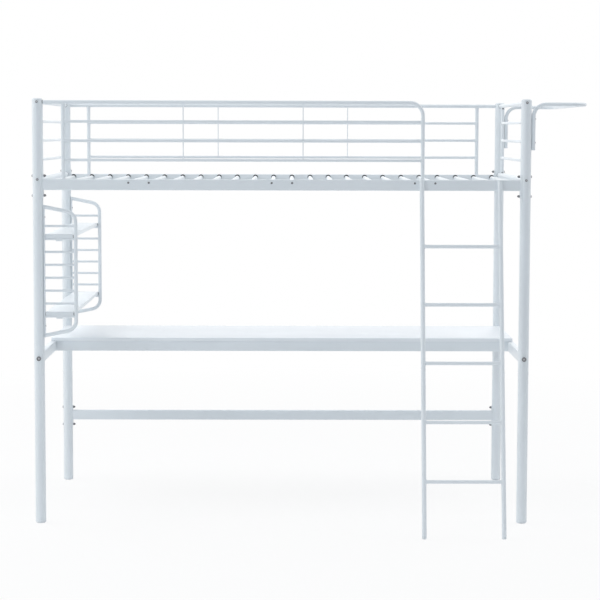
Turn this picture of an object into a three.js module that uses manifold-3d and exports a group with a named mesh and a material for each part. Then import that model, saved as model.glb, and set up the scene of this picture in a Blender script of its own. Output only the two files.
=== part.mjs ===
// A high single bed of powder-coated steel tube, with a desk, shelves, a ladder and a hanging rail below and beside it.
// Millimetres, +Z up. The ladder side is -Y, the foot end with the hanging rail is +X.
import * as THREE from "three";
import { mergeVertices } from "three/addons/utils/BufferGeometryUtils.js";
import Module from "manifold-3d";

const wasm = await Module();
wasm.setup();

// Clearances
const FIT_GAP = 0.3; // between pieces that seat on each other
const SHELF_SIDE_GAP = 2; // each side of a lift-off shelf

// Posts, their caps and feet
const POST_SPACING_LENGTH = 2028; // centre to centre along X
const POST_SPACING_WIDTH = 1010; // centre to centre along Y
const POST_DIAMETER = 44;
const POST_WALL = 1.5;
const POST_ABOVE_GUARD = 16; // top of the caps above the guards' top tubes
const CAP_RISE = 3;
const CAP_PLUG_DEPTH = 5;
const FOOT_RISE = 10;
const FOOT_PLUG_DEPTH = 14;
const FOOT_ROUNDING = 7;

// Rectangular tube of the rails and desk beams
const BEAM_HEIGHT = 45;
const BEAM_THICKNESS = 25;
const BEAM_WALL = 1.5;
const BEAM_CORNER = 4;
const DRAIN_HOLE_DIAMETER = 8;
const DRAIN_HOLE_INSET = 60; // from the post's centre

// Levels of the horizontal members
const RAIL_TOP = 1446; // bed rails, from the floor
const LOWER_BEAM_TOP = 332; // beam between the back posts near the floor
const DESK_BEAM_TOP = 720;

// Curved end plates that hug the posts, and their bolts
const SADDLE_HEIGHT = 98;
const SADDLE_WALL = 2.5;
const SADDLE_WRAP = THREE.MathUtils.degToRad(41); // to each side of the beam's axis
const SADDLE_CORNER = 12;
const SADDLE_DROP = 4; // plate centre below the beam's centre
const SADDLE_BOLT_PITCH = 82;
const BOLT_DIAMETER = 6;
const BOLT_HEAD_DIAMETER = 12;
const BOLT_HEAD_HEIGHT = 5;
const NUT_DIAMETER = 12; // across the corners
const NUT_HEIGHT = 10;
const NUT_SHOULDER = 5; // hexagon below the dome

// Slatted base of round tubes plugged into the rails
const SLAT_COUNT = 24;
const SLAT_END_INSET = 36.5; // first slat's axis from the post's axis
const SLAT_DIAMETER = 19;
const SLAT_WALL = 1.2;
const SLAT_DROP = 16; // slat axis below the rail's top

// Guards on the long sides
const GUARD_RISE = 319; // axis of the top tube above the rail's top
const GUARD_ROD_COUNT = 3; // below the top tube
const GUARD_TUBE_DIAMETER = 16;
const GUARD_ROD_DIAMETER = 12;
const GUARD_UPRIGHT_INSET = 107; // upright axis from the post's axis
const GUARD_BEND_RADIUS = 54;
const STAY_THICKNESS = 4; // flat bars that tie the rods together
const STAY_DEPTH = 12;
const LADDER_GAP = 429; // from the front guard's bent upright to the post's axis
const CUP_EXTRA = 6; // tube ends widen by this to a cup against the post
const CUP_LENGTH = 5;

// Frames at the two ends of the bed
const END_TOP_TUBE_DIAMETER = 16;
const END_LOW_TUBE_DIAMETER = 25;
const END_LOW_DROP = 2; // axis of the tube at bed level, below the rail's top
const END_UPRIGHT_INSET = 120; // upright axis from the post's axis

// Desk
const DESKTOP_THICKNESS = 15;
const DESKTOP_DEPTH = 538;
const DESKTOP_SIDE_REACH = 7; // past the posts' axes, over the side beams
const DESKTOP_CORNER = 5;
const DESK_FRONT_OVERHANG = 17; // board in front of the front beam
const DESK_REAR_OVERHANG = 12; // board behind the rear beam
const DESK_BOLT_HEAD_DIAMETER = 19;
const DESK_BOLT_HEAD_HEIGHT = 5;
const DESK_BOLT_SOCKET_DIAMETER = 8;
const DESK_BOLT_SOCKET_DEPTH = 3.5;
const DESK_BOLT_REACH = 14; // past the beam's end plate
const END_PLATE = 3;

// Shelf rack on the head-end posts
const RACK_REACH = 155; // axis of the outer upright from the post's axis
const RACK_DROP = 115; // top bar's axis at the post, below the rail's top
const RACK_RISE = 58; // bottom bar's axis at the post, above the desktop
const RACK_TAPER = 26; // top and bottom bars close in by this towards the outer upright
const RACK_BEND_RADIUS = 45;
const RACK_TUBE_DIAMETER = 16;
const RACK_STRIP_THICKNESS = 5;
const RACK_STRIP_WIDTH = 20;
const RACK_ROD_DIAMETER = 10;
const RACK_ROD_COUNT = 8;
const RACK_ROD_MARGIN = 80; // from the first and last rod to the bars' axes at the post
const SHELF_WALL = 1.5;
const SHELF_RISE = 15; // shelf top above the top of the rods that carry it
const SHELF_HOOK_WIDTH = 28; // one hook in the middle of each end lip
const SHELF_HOOK_DROP = 4; // below the rod
const UPPER_SHELF_ROD = 2; // counted from the top
const LOWER_SHELF_ROD = 8;

// Hanging rail on the foot-end posts
const HANGER_TUBE_DIAMETER = 16;
const HANGER_DROP = 5; // axis of the loop below the guards' top tubes
const HANGER_LEG_LENGTH = 190; // below the loop's axis
const HANGER_REACH = 220; // loop's far axis from the legs' axis
const HANGER_LEG_BEND = 50;
const HANGER_LOOP_BEND = 60;

// Ladder
const LADDER_TUBE_DIAMETER = 19;
const LADDER_TUBE_WALL = 1.5;
const LADDER_WIDTH = 324; // between the uprights' axes
const LADDER_OFFSET = 4; // left upright's axis, towards the head end from the guard's bent upright
const LADDER_FOOT_REACH = 322; // foot in front of the posts' axes
const RUNG_COUNT = 5;
const RUNG_FIRST = 232; // along the uprights from the floor
const RUNG_LAST = 277; // last rung from the uprights' tops
const RUNG_DIAMETER = 15;
const LADDER_FOOT_RISE = 12; // along the uprights
const LADDER_FOOT_PLUG = 16;
const LADDER_FOOT_ROUNDING = 5;

// Facets round each section
const POST_SIDES = 20;
const TUBE_SIDES = 10;
const ROD_SIDES = 8;
const SLAT_SIDES = 8;
const BOLT_SIDES = 6;
const SADDLE_FACETS = 5;
const BEND_STEPS = 5;

// Sizes that follow from the ones above
const HALF_LENGTH = POST_SPACING_LENGTH / 2;
const FRONT = 0;
const BACK = POST_SPACING_WIDTH;
const POST_RADIUS = POST_DIAMETER / 2;
const POST_SEAT = POST_RADIUS + FIT_GAP;
const GUARD_TOP = RAIL_TOP + GUARD_RISE;
const BED_HEIGHT = GUARD_TOP + POST_ABOVE_GUARD;
const POST_TOP = BED_HEIGHT - CAP_RISE - FIT_GAP;
const POST_BOTTOM = FOOT_RISE + FIT_GAP;
const RAIL_CENTRE = RAIL_TOP - BEAM_HEIGHT / 2;
const LOWER_BEAM_CENTRE = LOWER_BEAM_TOP - BEAM_HEIGHT / 2;
const DESK_BEAM_CENTRE = DESK_BEAM_TOP - BEAM_HEIGHT / 2;
const END_LOW_LEVEL = RAIL_TOP - END_LOW_DROP;
const GUARD_UPRIGHT_X = HALF_LENGTH - GUARD_UPRIGHT_INSET;
const LADDER_GAP_X = HALF_LENGTH - LADDER_GAP;
const LADDER_LEFT_X = LADDER_GAP_X - LADDER_OFFSET;
const LADDER_TOP_Y = -BEAM_THICKNESS / 2 - FIT_GAP;
const RACK_STRIP_X = -HALF_LENGTH + POST_SEAT + RACK_STRIP_THICKNESS / 2;
const RACK_OUTER_X = -HALF_LENGTH + RACK_REACH;
const RACK_HIGH = RAIL_TOP - RACK_DROP;
const RACK_LOW = DESK_BEAM_TOP + DESKTOP_THICKNESS + RACK_RISE;
const HANGER_LEVEL = GUARD_TOP - HANGER_DROP;
const HANGER_LEG_X = HALF_LENGTH + POST_SEAT + HANGER_TUBE_DIAMETER / 2;
const RAIL_BOLTS = boltLevels(RAIL_CENTRE);
const LOWER_BEAM_BOLTS = boltLevels(LOWER_BEAM_CENTRE);

// Finishes
const powderCoat = new THREE.MeshStandardMaterial({ color: 0xe6ebf0, roughness: 0.42, metalness: 0.0 });
const board = new THREE.MeshStandardMaterial({ color: 0xf2f5f8, roughness: 0.5, metalness: 0.0 });
const whitePlastic = new THREE.MeshStandardMaterial({ color: 0xe2e7ec, roughness: 0.55, metalness: 0.0 });
const darkSteel = new THREE.MeshStandardMaterial({ color: 0x5b6066, roughness: 0.35, metalness: 0.8 });

const bed = new THREE.Group();

function point(x, y, z) {
  return new THREE.Vector3(x, y, z);
}

function boltLevels(beamCentre) {
  const plateCentre = beamCentre - SADDLE_DROP;
  return [plateCentre + SADDLE_BOLT_PITCH / 2, plateCentre - SADDLE_BOLT_PITCH / 2];
}

// Solids from closed three.js geometries, and back
function signedVolume(vertices, triangles) {
  const corner = (index) => new THREE.Vector3().fromArray(vertices, 3 * index);
  let volume = 0;
  for (let i = 0; i < triangles.length; i += 3) {
    const [a, b, c] = [corner(triangles[i]), corner(triangles[i + 1]), corner(triangles[i + 2])];
    volume += a.dot(b.cross(c)) / 6;
  }
  return volume;
}

function solidOf(geometry) {
  const bare = new THREE.BufferGeometry();
  bare.setAttribute("position", geometry.getAttribute("position"));
  bare.setIndex(geometry.getIndex());
  const merged = mergeVertices(bare, 1e-3);
  const vertProperties = new Float32Array(merged.getAttribute("position").array);
  const triVerts = new Uint32Array(merged.getIndex().array);
  if (signedVolume(vertProperties, triVerts) < 0) {
    triVerts.reverse();
  }
  return new wasm.Manifold(new wasm.Mesh({ numProp: 3, vertProperties, triVerts }));
}

function geometryOf(solid) {
  const mesh = solid.getMesh();
  const geometry = new THREE.BufferGeometry();
  geometry.setAttribute("position", new THREE.BufferAttribute(mesh.vertProperties, 3));
  geometry.setIndex(new THREE.BufferAttribute(mesh.triVerts, 1));
  geometry.computeVertexNormals();
  return geometry;
}

function join(solids) {
  return solids.reduce((whole, next) => whole.add(next));
}

function cut(solid, tools) {
  return tools.reduce((rest, tool) => rest.subtract(tool), solid);
}

function addPiece(name, solid, material) {
  const piece = new THREE.Mesh(geometryOf(solid), material);
  piece.name = name;
  bed.add(piece);
}

// Outlines
function polygon(radius, sides) {
  const corners = Array.from({ length: sides }, (_, i) => {
    const angle = (2 * Math.PI * (i + 0.5)) / sides;
    return new THREE.Vector2(radius * Math.cos(angle), radius * Math.sin(angle));
  });
  return new THREE.Shape(corners);
}

function roundedRectangle(width, height, radius, cornerSteps) {
  const centres = [
    [width / 2 - radius, height / 2 - radius],
    [radius - width / 2, height / 2 - radius],
    [radius - width / 2, radius - height / 2],
    [width / 2 - radius, radius - height / 2],
  ];
  const corners = centres.flatMap(([x, y], quarter) =>
    Array.from({ length: cornerSteps + 1 }, (_, i) => {
      const angle = (Math.PI / 2) * (quarter + i / cornerSteps);
      return new THREE.Vector2(x + radius * Math.cos(angle), y + radius * Math.sin(angle));
    }),
  );
  return new THREE.Shape(corners);
}

// The centre line of a bent tube: straight runs between corners, each inner corner rounded to its bend radius.
class BentPath extends THREE.Curve {
  constructor(corners, bendRadii = []) {
    super();
    this.stations = [{ at: corners[0], along: direction(corners[0], corners[1]) }];
    for (let i = 1; i < corners.length - 1; i += 1) {
      this.addBend(corners[i - 1], corners[i], corners[i + 1], bendRadii[i - 1]);
    }
    const last = corners[corners.length - 1];
    this.stations.push({ at: last, along: direction(corners[corners.length - 2], last) });
  }

  addBend(before, corner, after, radius) {
    const arriving = direction(before, corner);
    const leaving = direction(corner, after);
    const turn = arriving.angleTo(leaving);
    const start = corner.clone().addScaledVector(arriving, -radius * Math.tan(turn / 2));
    const axis = arriving.clone().cross(leaving).normalize();
    const centre = start.clone().addScaledVector(axis.clone().cross(arriving), radius);
    for (let i = 0; i <= BEND_STEPS; i += 1) {
      const turned = new THREE.Quaternion().setFromAxisAngle(axis, (turn * i) / BEND_STEPS);
      const at = start.clone().sub(centre).applyQuaternion(turned).add(centre);
      this.stations.push({ at, along: arriving.clone().applyQuaternion(turned) });
    }
  }

  getPointAt(share) {
    return this.stations[Math.round(share * (this.stations.length - 1))].at.clone();
  }

  getTangentAt(share) {
    return this.stations[Math.round(share * (this.stations.length - 1))].along.clone();
  }
}

function direction(from, to) {
  return to.clone().sub(from).normalize();
}

function sweep(outline, path) {
  const steps = path.stations.length - 1;
  return solidOf(new THREE.ExtrudeGeometry(outline, { extrudePath: path, steps, bevelEnabled: false }));
}

function bar(from, to, diameter, sides) {
  return sweep(polygon(diameter / 2, sides), new BentPath([from, to]));
}

function bentTube(corners, bendRadii, diameter) {
  return sweep(polygon(diameter / 2, TUBE_SIDES), new BentPath(corners, bendRadii));
}

function box(low, high) {
  const size = high.clone().sub(low);
  const middle = low.clone().add(high).multiplyScalar(0.5);
  return solidOf(new THREE.BoxGeometry(size.x, size.y, size.z).translate(middle.x, middle.y, middle.z));
}

// A revolved profile of [radius, height] points, standing on +Z, with its facets where polygon() has them
function turned(profile, sides) {
  const outline = profile.map(([radius, height]) => new THREE.Vector2(radius, height));
  const start = Math.PI / 2 + Math.PI / sides;
  return new THREE.LatheGeometry(outline, sides, start).rotateX(Math.PI / 2);
}

// The same, laid along a level direction from a seat
function turnedAlong(profile, sides, seat, along) {
  const up = point(0, 0, 1);
  const side = up.clone().cross(along);
  const placement = new THREE.Matrix4().makeBasis(side, up, along).setPosition(seat);
  return solidOf(turned(profile, sides).applyMatrix4(placement));
}

// The space that a post takes up, with the clearance that its neighbours keep
function postSpace(x, y) {
  return bar(point(x, y, 0), point(x, y, BED_HEIGHT), 2 * POST_SEAT, POST_SIDES);
}

// Bolts and nuts: the seat is where the head or the nut bears
function bolt(seat, along, length) {
  const profile = [
    [0, -BOLT_HEAD_HEIGHT],
    [BOLT_HEAD_DIAMETER / 4, -BOLT_HEAD_HEIGHT],
    [BOLT_HEAD_DIAMETER / 2, 0],
    [BOLT_DIAMETER / 2, 0],
    [BOLT_DIAMETER / 2, length],
    [0, length],
  ];
  return turnedAlong(profile, BOLT_SIDES, seat, along);
}

function capNut(seat, along) {
  const profile = [
    [0, 0],
    [NUT_DIAMETER / 2, 0],
    [NUT_DIAMETER / 2, NUT_SHOULDER],
    [NUT_DIAMETER / 4, NUT_HEIGHT],
    [0, NUT_HEIGHT],
  ];
  return turnedAlong(profile, BOLT_SIDES, seat, along);
}

function boltHole(from, to) {
  const radius = BOLT_DIAMETER / 2 + FIT_GAP;
  const length = from.distanceTo(to);
  return turnedAlong([[0, 0], [radius, 0], [radius, length], [0, length]], BOLT_SIDES, from, direction(from, to));
}

// Posts with the holes of everything that is bolted to them
function makePost(name, x, y, levelsAlongX, levelsAlongY) {
  const outline = polygon(POST_RADIUS, POST_SIDES);
  outline.holes.push(polygon(POST_RADIUS - POST_WALL, POST_SIDES));
  const tube = sweep(outline, new BentPath([point(x, y, POST_BOTTOM), point(x, y, POST_TOP)]));
  const reach = POST_DIAMETER;
  const alongX = levelsAlongX.map((z) => boltHole(point(x - reach, y, z), point(x + reach, y, z)));
  const alongY = levelsAlongY.map((z) => boltHole(point(x, y - reach, z), point(x, y + reach, z)));
  addPiece(name, cut(tube, [...alongX, ...alongY]), powderCoat);
}

function makeCap(name, x, y) {
  const plug = POST_RADIUS - POST_WALL - FIT_GAP;
  const seat = POST_TOP + FIT_GAP;
  const profile = [
    [0, POST_TOP - CAP_PLUG_DEPTH],
    [plug, POST_TOP - CAP_PLUG_DEPTH],
    [plug, seat],
    [POST_RADIUS, seat],
    [POST_RADIUS - CAP_RISE, BED_HEIGHT],
    [0, BED_HEIGHT],
  ];
  addPiece(name, solidOf(turned(profile, POST_SIDES).translate(x, y, 0)), whitePlastic);
}

// A moulded foot: a rounded disc with a plug that goes up inside the tube
function footProfile(radius, plug, rise, plugDepth, rounding) {
  const arc = [0, 1, 2].map((step) => {
    const angle = (Math.PI / 4) * step;
    return [radius - rounding + rounding * Math.sin(angle), rounding - rounding * Math.cos(angle)];
  });
  return [[0, 0], ...arc, [radius, rise], [plug, rise], [plug, rise + plugDepth], [0, rise + plugDepth]];
}

function makeFoot(name, x, y) {
  const plug = POST_RADIUS - POST_WALL - FIT_GAP;
  const profile = footProfile(POST_RADIUS, plug, FOOT_RISE, FOOT_PLUG_DEPTH, FOOT_ROUNDING);
  addPiece(name, solidOf(turned(profile, POST_SIDES).translate(x, y, 0)), whitePlastic);
}

// Rails and beams of rectangular tube
function beamOutline() {
  const outline = roundedRectangle(BEAM_THICKNESS, BEAM_HEIGHT, BEAM_CORNER, 2);
  const inner = [BEAM_THICKNESS - 2 * BEAM_WALL, BEAM_HEIGHT - 2 * BEAM_WALL];
  outline.holes.push(roundedRectangle(...inner, BEAM_CORNER - BEAM_WALL, 1));
  return outline;
}

// The extrusion starts along +Z with the outline's height along Y, and is then laid down along X or Y.
function beamAlongX(fromX, toX, y, centre) {
  const tube = new THREE.ExtrudeGeometry(beamOutline(), { depth: toX - fromX, bevelEnabled: false });
  return solidOf(tube.rotateX(Math.PI / 2).rotateZ(Math.PI / 2).translate(fromX, y, centre));
}

function beamAlongY(fromY, toY, x, centre) {
  const tube = new THREE.ExtrudeGeometry(beamOutline(), { depth: toY - fromY, bevelEnabled: false });
  return solidOf(tube.rotateX(Math.PI / 2).translate(x, toY, centre));
}

// A curved end plate with rounded corners, made facing +X around a post at the origin and then turned to its beam
function saddlePlate(x, y, centre, facing) {
  const outer = POST_SEAT + SADDLE_WALL;
  const sector = new THREE.Shape();
  sector.absarc(0, 0, outer, -SADDLE_WRAP, SADDLE_WRAP, false);
  sector.lineTo(0, 0);
  const options = { depth: SADDLE_HEIGHT, bevelEnabled: false, curveSegments: SADDLE_FACETS };
  const wedge = solidOf(new THREE.ExtrudeGeometry(sector, options).translate(0, 0, -SADDLE_HEIGHT / 2));
  const chord = 2 * outer * Math.sin(SADDLE_WRAP) + 2 * FIT_GAP;
  const face = roundedRectangle(chord, SADDLE_HEIGHT, SADDLE_CORNER, 2);
  const block = new THREE.ExtrudeGeometry(face, { depth: 2 * outer, bevelEnabled: false });
  const trimmed = wedge.intersect(solidOf(block.rotateX(Math.PI / 2).rotateZ(Math.PI / 2)));
  return trimmed.rotate([0, 0, facing]).translate([x, y, centre]);
}

function saddleBolts(x, y, levels, inward) {
  const along = point(inward, 0, 0);
  const nutSeat = POST_SEAT + SADDLE_WALL;
  return levels.flatMap((z) => [
    bolt(point(x - inward * POST_SEAT, y, z), along, POST_SEAT + nutSeat),
    capNut(point(x + inward * nutSeat, y, z), along),
  ]);
}

function postToPostBeam(y, centre, holes) {
  const tube = beamAlongX(-HALF_LENGTH, HALF_LENGTH, y, centre);
  const plateCentre = centre - SADDLE_DROP;
  const plates = [saddlePlate(-HALF_LENGTH, y, plateCentre, 0), saddlePlate(HALF_LENGTH, y, plateCentre, 180)];
  const posts = [postSpace(-HALF_LENGTH, y), postSpace(HALF_LENGTH, y)];
  const bolts = [
    ...saddleBolts(-HALF_LENGTH, y, boltLevels(centre), 1),
    ...saddleBolts(HALF_LENGTH, y, boltLevels(centre), -1),
  ];
  const drains = [-1, 1].map((side) => {
    const x = side * (HALF_LENGTH - DRAIN_HOLE_INSET);
    return bar(point(x, y, centre - BEAM_HEIGHT), point(x, y, centre), DRAIN_HOLE_DIAMETER, BOLT_SIDES);
  });
  return join([cut(join([tube, ...plates]), [...posts, ...drains, ...holes]), ...bolts]);
}

// Evenly spaced values from one end to the other
function spread(from, to, count) {
  return Array.from({ length: count }, (_, i) => from + ((to - from) * i) / (count - 1));
}

function slatPositions() {
  const last = HALF_LENGTH - SLAT_END_INSET;
  return spread(-last, last, SLAT_COUNT);
}

// Holes for the slats in a rail's inner wall; inward is +1 on the front rail and -1 on the back one
function slatHoles(y, inward) {
  const z = RAIL_TOP - SLAT_DROP;
  const diameter = SLAT_DIAMETER + 2 * FIT_GAP;
  return slatPositions().map((x) => bar(point(x, y, z), point(x, y + inward * BEAM_THICKNESS, z), diameter, SLAT_SIDES));
}

function ladderUprights() {
  return [LADDER_LEFT_X, LADDER_LEFT_X + LADDER_WIDTH];
}

function makeRails() {
  addPiece("front_rail", postToPostBeam(FRONT, RAIL_CENTRE, slatHoles(FRONT, 1)), powderCoat);
  addPiece("back_rail", postToPostBeam(BACK, RAIL_CENTRE, slatHoles(BACK, -1)), powderCoat);
  addPiece("lower_back_beam", postToPostBeam(BACK, LOWER_BEAM_CENTRE, []), powderCoat);
}

function makeSlats() {
  const outline = polygon(SLAT_DIAMETER / 2, SLAT_SIDES);
  outline.holes.push(polygon(SLAT_DIAMETER / 2 - SLAT_WALL, SLAT_SIDES));
  const inset = BEAM_THICKNESS / 2 - BEAM_WALL - FIT_GAP;
  const z = RAIL_TOP - SLAT_DROP;
  slatPositions().forEach((x, i) => {
    const path = new BentPath([point(x, FRONT - inset, z), point(x, BACK + inset, z)]);
    addPiece("slat_" + String(i + 1).padStart(2, "0"), sweep(outline, path), powderCoat);
  });
}

// Guards along the two sides: a tube frame standing on the rail, filled with rods
function cup(x, y, z, along, diameter) {
  const centre = point(x, y, z);
  const end = centre.clone().addScaledVector(along, POST_SEAT + CUP_LENGTH);
  return bar(centre, end, diameter + CUP_EXTRA, TUBE_SIDES);
}

// The rods divide the height between the top tube and the rail evenly
function guardRows() {
  return spread(GUARD_TOP, RAIL_TOP, GUARD_ROD_COUNT + 2).slice(1, -1);
}

function guardRods(y, fromX, toX) {
  return guardRows().map((z) => bar(point(fromX, y, z), point(toX, y, z), GUARD_ROD_DIAMETER, ROD_SIDES));
}

// Two flat stays divide the guard in thirds, from the top tube to the lowest rod
function guardStays(y, fromX, toX) {
  const lowest = Math.min(...guardRows());
  return [1 / 3, 2 / 3].map((share) => {
    const x = fromX + share * (toX - fromX);
    const half = STAY_THICKNESS / 2;
    return box(point(x - half, y - STAY_DEPTH / 2, lowest), point(x + half, y + STAY_DEPTH / 2, GUARD_TOP));
  });
}

function makeFrontGuard() {
  const foot = RAIL_TOP + FIT_GAP;
  const corners = [
    point(-HALF_LENGTH, FRONT, GUARD_TOP),
    point(LADDER_GAP_X, FRONT, GUARD_TOP),
    point(LADDER_GAP_X, FRONT, foot),
  ];
  const hoop = bentTube(corners, [GUARD_BEND_RADIUS], GUARD_TUBE_DIAMETER);
  const left = -GUARD_UPRIGHT_X;
  const upright = bar(point(left, FRONT, foot), point(left, FRONT, GUARD_TOP), GUARD_TUBE_DIAMETER, TUBE_SIDES);
  const frame = join([
    hoop,
    upright,
    cup(-HALF_LENGTH, FRONT, GUARD_TOP, point(1, 0, 0), GUARD_TUBE_DIAMETER),
    ...guardRods(FRONT, left, LADDER_GAP_X),
    ...guardStays(FRONT, left, LADDER_GAP_X),
  ]);
  addPiece("front_guard", cut(frame, [postSpace(-HALF_LENGTH, FRONT)]), powderCoat);
}

function makeBackGuard() {
  const foot = RAIL_TOP + FIT_GAP;
  const ends = [-HALF_LENGTH, HALF_LENGTH];
  const uprights = [-GUARD_UPRIGHT_X, GUARD_UPRIGHT_X].map((x) =>
    bar(point(x, BACK, foot), point(x, BACK, GUARD_TOP), GUARD_TUBE_DIAMETER, TUBE_SIDES),
  );
  const frame = join([
    bar(point(ends[0], BACK, GUARD_TOP), point(ends[1], BACK, GUARD_TOP), GUARD_TUBE_DIAMETER, TUBE_SIDES),
    ...uprights,
    ...ends.map((x) => cup(x, BACK, GUARD_TOP, point(-Math.sign(x), 0, 0), GUARD_TUBE_DIAMETER)),
    ...guardRods(BACK, -GUARD_UPRIGHT_X, GUARD_UPRIGHT_X),
    ...guardStays(BACK, -GUARD_UPRIGHT_X, GUARD_UPRIGHT_X),
  ]);
  addPiece("back_guard", cut(frame, ends.map((x) => postSpace(x, BACK))), powderCoat);
}

// End frames: two tubes bolted between the posts, with a rod guard between them
function makeEndFrame(name, x) {
  const crossTube = (z, diameter) => [
    bar(point(x, FRONT, z), point(x, BACK, z), diameter, TUBE_SIDES),
    cup(x, FRONT, z, point(0, 1, 0), diameter),
    cup(x, BACK, z, point(0, -1, 0), diameter),
  ];
  const uprightsAt = [FRONT + END_UPRIGHT_INSET, BACK - END_UPRIGHT_INSET];
  const uprights = uprightsAt.map((y) =>
    bar(point(x, y, END_LOW_LEVEL), point(x, y, GUARD_TOP), GUARD_TUBE_DIAMETER, TUBE_SIDES),
  );
  const rods = guardRows().map((z) => bar(point(x, uprightsAt[0], z), point(x, uprightsAt[1], z), GUARD_ROD_DIAMETER, ROD_SIDES));
  const frame = join([
    ...crossTube(GUARD_TOP, END_TOP_TUBE_DIAMETER),
    ...crossTube(END_LOW_LEVEL, END_LOW_TUBE_DIAMETER),
    ...uprights,
    ...rods,
  ]);
  addPiece(name, cut(frame, [postSpace(x, FRONT), postSpace(x, BACK)]), powderCoat);
}

// Desk: side beams between front and back posts carry two long beams and the board
const DESKTOP_BACK_Y = BACK - POST_SEAT;
const DESKTOP_FRONT_Y = DESKTOP_BACK_Y - DESKTOP_DEPTH;

function makeDeskSideBeam(name, x) {
  const tube = beamAlongY(FRONT, BACK, x, DESK_BEAM_CENTRE);
  const half = BEAM_THICKNESS / 2 - BEAM_WALL / 2;
  const tall = BEAM_HEIGHT / 2 - BEAM_WALL / 2;
  const plates = [FRONT, BACK - POST_SEAT - END_PLATE].map((y) =>
    box(point(x - half, y, DESK_BEAM_CENTRE - tall), point(x + half, y + POST_SEAT + END_PLATE, DESK_BEAM_CENTRE + tall)),
  );
  const boltSpace = boltHole(point(x, FRONT, DESK_BEAM_CENTRE), point(x, BACK, DESK_BEAM_CENTRE));
  const coped = cut(join([tube, ...plates]), [postSpace(x, FRONT), postSpace(x, BACK), boltSpace]);
  addPiece(name, coped, powderCoat);
}

function makeDeskLongBeam(name, centreY) {
  const end = HALF_LENGTH - BEAM_THICKNESS / 2 - FIT_GAP;
  addPiece(name, beamAlongX(-end, end, centreY, DESK_BEAM_CENTRE), powderCoat);
}

function makeDesktop() {
  const length = POST_SPACING_LENGTH + 2 * DESKTOP_SIDE_REACH;
  const outline = roundedRectangle(length, DESKTOP_DEPTH, DESKTOP_CORNER, 3);
  const sheet = new THREE.ExtrudeGeometry(outline, { depth: DESKTOP_THICKNESS, bevelEnabled: false });
  const middle = (DESKTOP_FRONT_Y + DESKTOP_BACK_Y) / 2;
  addPiece("desktop", solidOf(sheet.translate(0, middle, DESK_BEAM_TOP + FIT_GAP)), board);
}

function makeDeskBolt(name, x, y, inward) {
  const length = 2 * POST_SEAT + END_PLATE + DESK_BOLT_REACH;
  const profile = [
    [0, DESK_BOLT_SOCKET_DEPTH - DESK_BOLT_HEAD_HEIGHT],
    [DESK_BOLT_SOCKET_DIAMETER / 2, DESK_BOLT_SOCKET_DEPTH - DESK_BOLT_HEAD_HEIGHT],
    [DESK_BOLT_SOCKET_DIAMETER / 2, -DESK_BOLT_HEAD_HEIGHT],
    [DESK_BOLT_HEAD_DIAMETER / 2, -DESK_BOLT_HEAD_HEIGHT],
    [DESK_BOLT_HEAD_DIAMETER / 2, 0],
    [BOLT_DIAMETER / 2, 0],
    [BOLT_DIAMETER / 2, length],
    [0, length],
  ];
  const seat = point(x, y - inward * POST_SEAT, DESK_BEAM_CENTRE);
  addPiece(name, turnedAlong(profile, BOLT_SIDES, seat, point(0, inward, 0)), darkSteel);
}

function makeDesk() {
  makeDeskSideBeam("desk_side_beam_left", -HALF_LENGTH);
  makeDeskSideBeam("desk_side_beam_right", HALF_LENGTH);
  makeDeskLongBeam("desk_front_beam", DESKTOP_FRONT_Y + DESK_FRONT_OVERHANG + BEAM_THICKNESS / 2);
  makeDeskLongBeam("desk_back_beam", DESKTOP_BACK_Y - DESK_REAR_OVERHANG - BEAM_THICKNESS / 2);
  makeDesktop();
  makeDeskBolt("desk_bolt_front_left", -HALF_LENGTH, FRONT, 1);
  makeDeskBolt("desk_bolt_front_right", HALF_LENGTH, FRONT, 1);
  makeDeskBolt("desk_bolt_back_left", -HALF_LENGTH, BACK, -1);
  makeDeskBolt("desk_bolt_back_right", HALF_LENGTH, BACK, -1);
}

// Shelf rack: two bent side frames with rods, and two shelves that hook over the rods
function rackRods() {
  return spread(RACK_HIGH - RACK_ROD_MARGIN, RACK_LOW + RACK_ROD_MARGIN, RACK_ROD_COUNT);
}

function makeRackFrame(name, y) {
  const corners = [
    point(RACK_STRIP_X, y, RACK_HIGH),
    point(RACK_OUTER_X, y, RACK_HIGH - RACK_TAPER),
    point(RACK_OUTER_X, y, RACK_LOW + RACK_TAPER),
    point(RACK_STRIP_X, y, RACK_LOW),
  ];
  const tube = bentTube(corners, [RACK_BEND_RADIUS, RACK_BEND_RADIUS], RACK_TUBE_DIAMETER);
  const corner = point(RACK_STRIP_THICKNESS / 2, RACK_STRIP_WIDTH / 2, RACK_TUBE_DIAMETER / 2);
  const strip = box(point(RACK_STRIP_X, y, RACK_LOW).sub(corner), point(RACK_STRIP_X, y, RACK_HIGH).add(corner));
  const rods = rackRods().map((z) => bar(point(RACK_STRIP_X, y, z), point(RACK_OUTER_X, y, z), RACK_ROD_DIAMETER, ROD_SIDES));
  addPiece(name, join([tube, strip, ...rods]), powderCoat);
}

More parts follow.
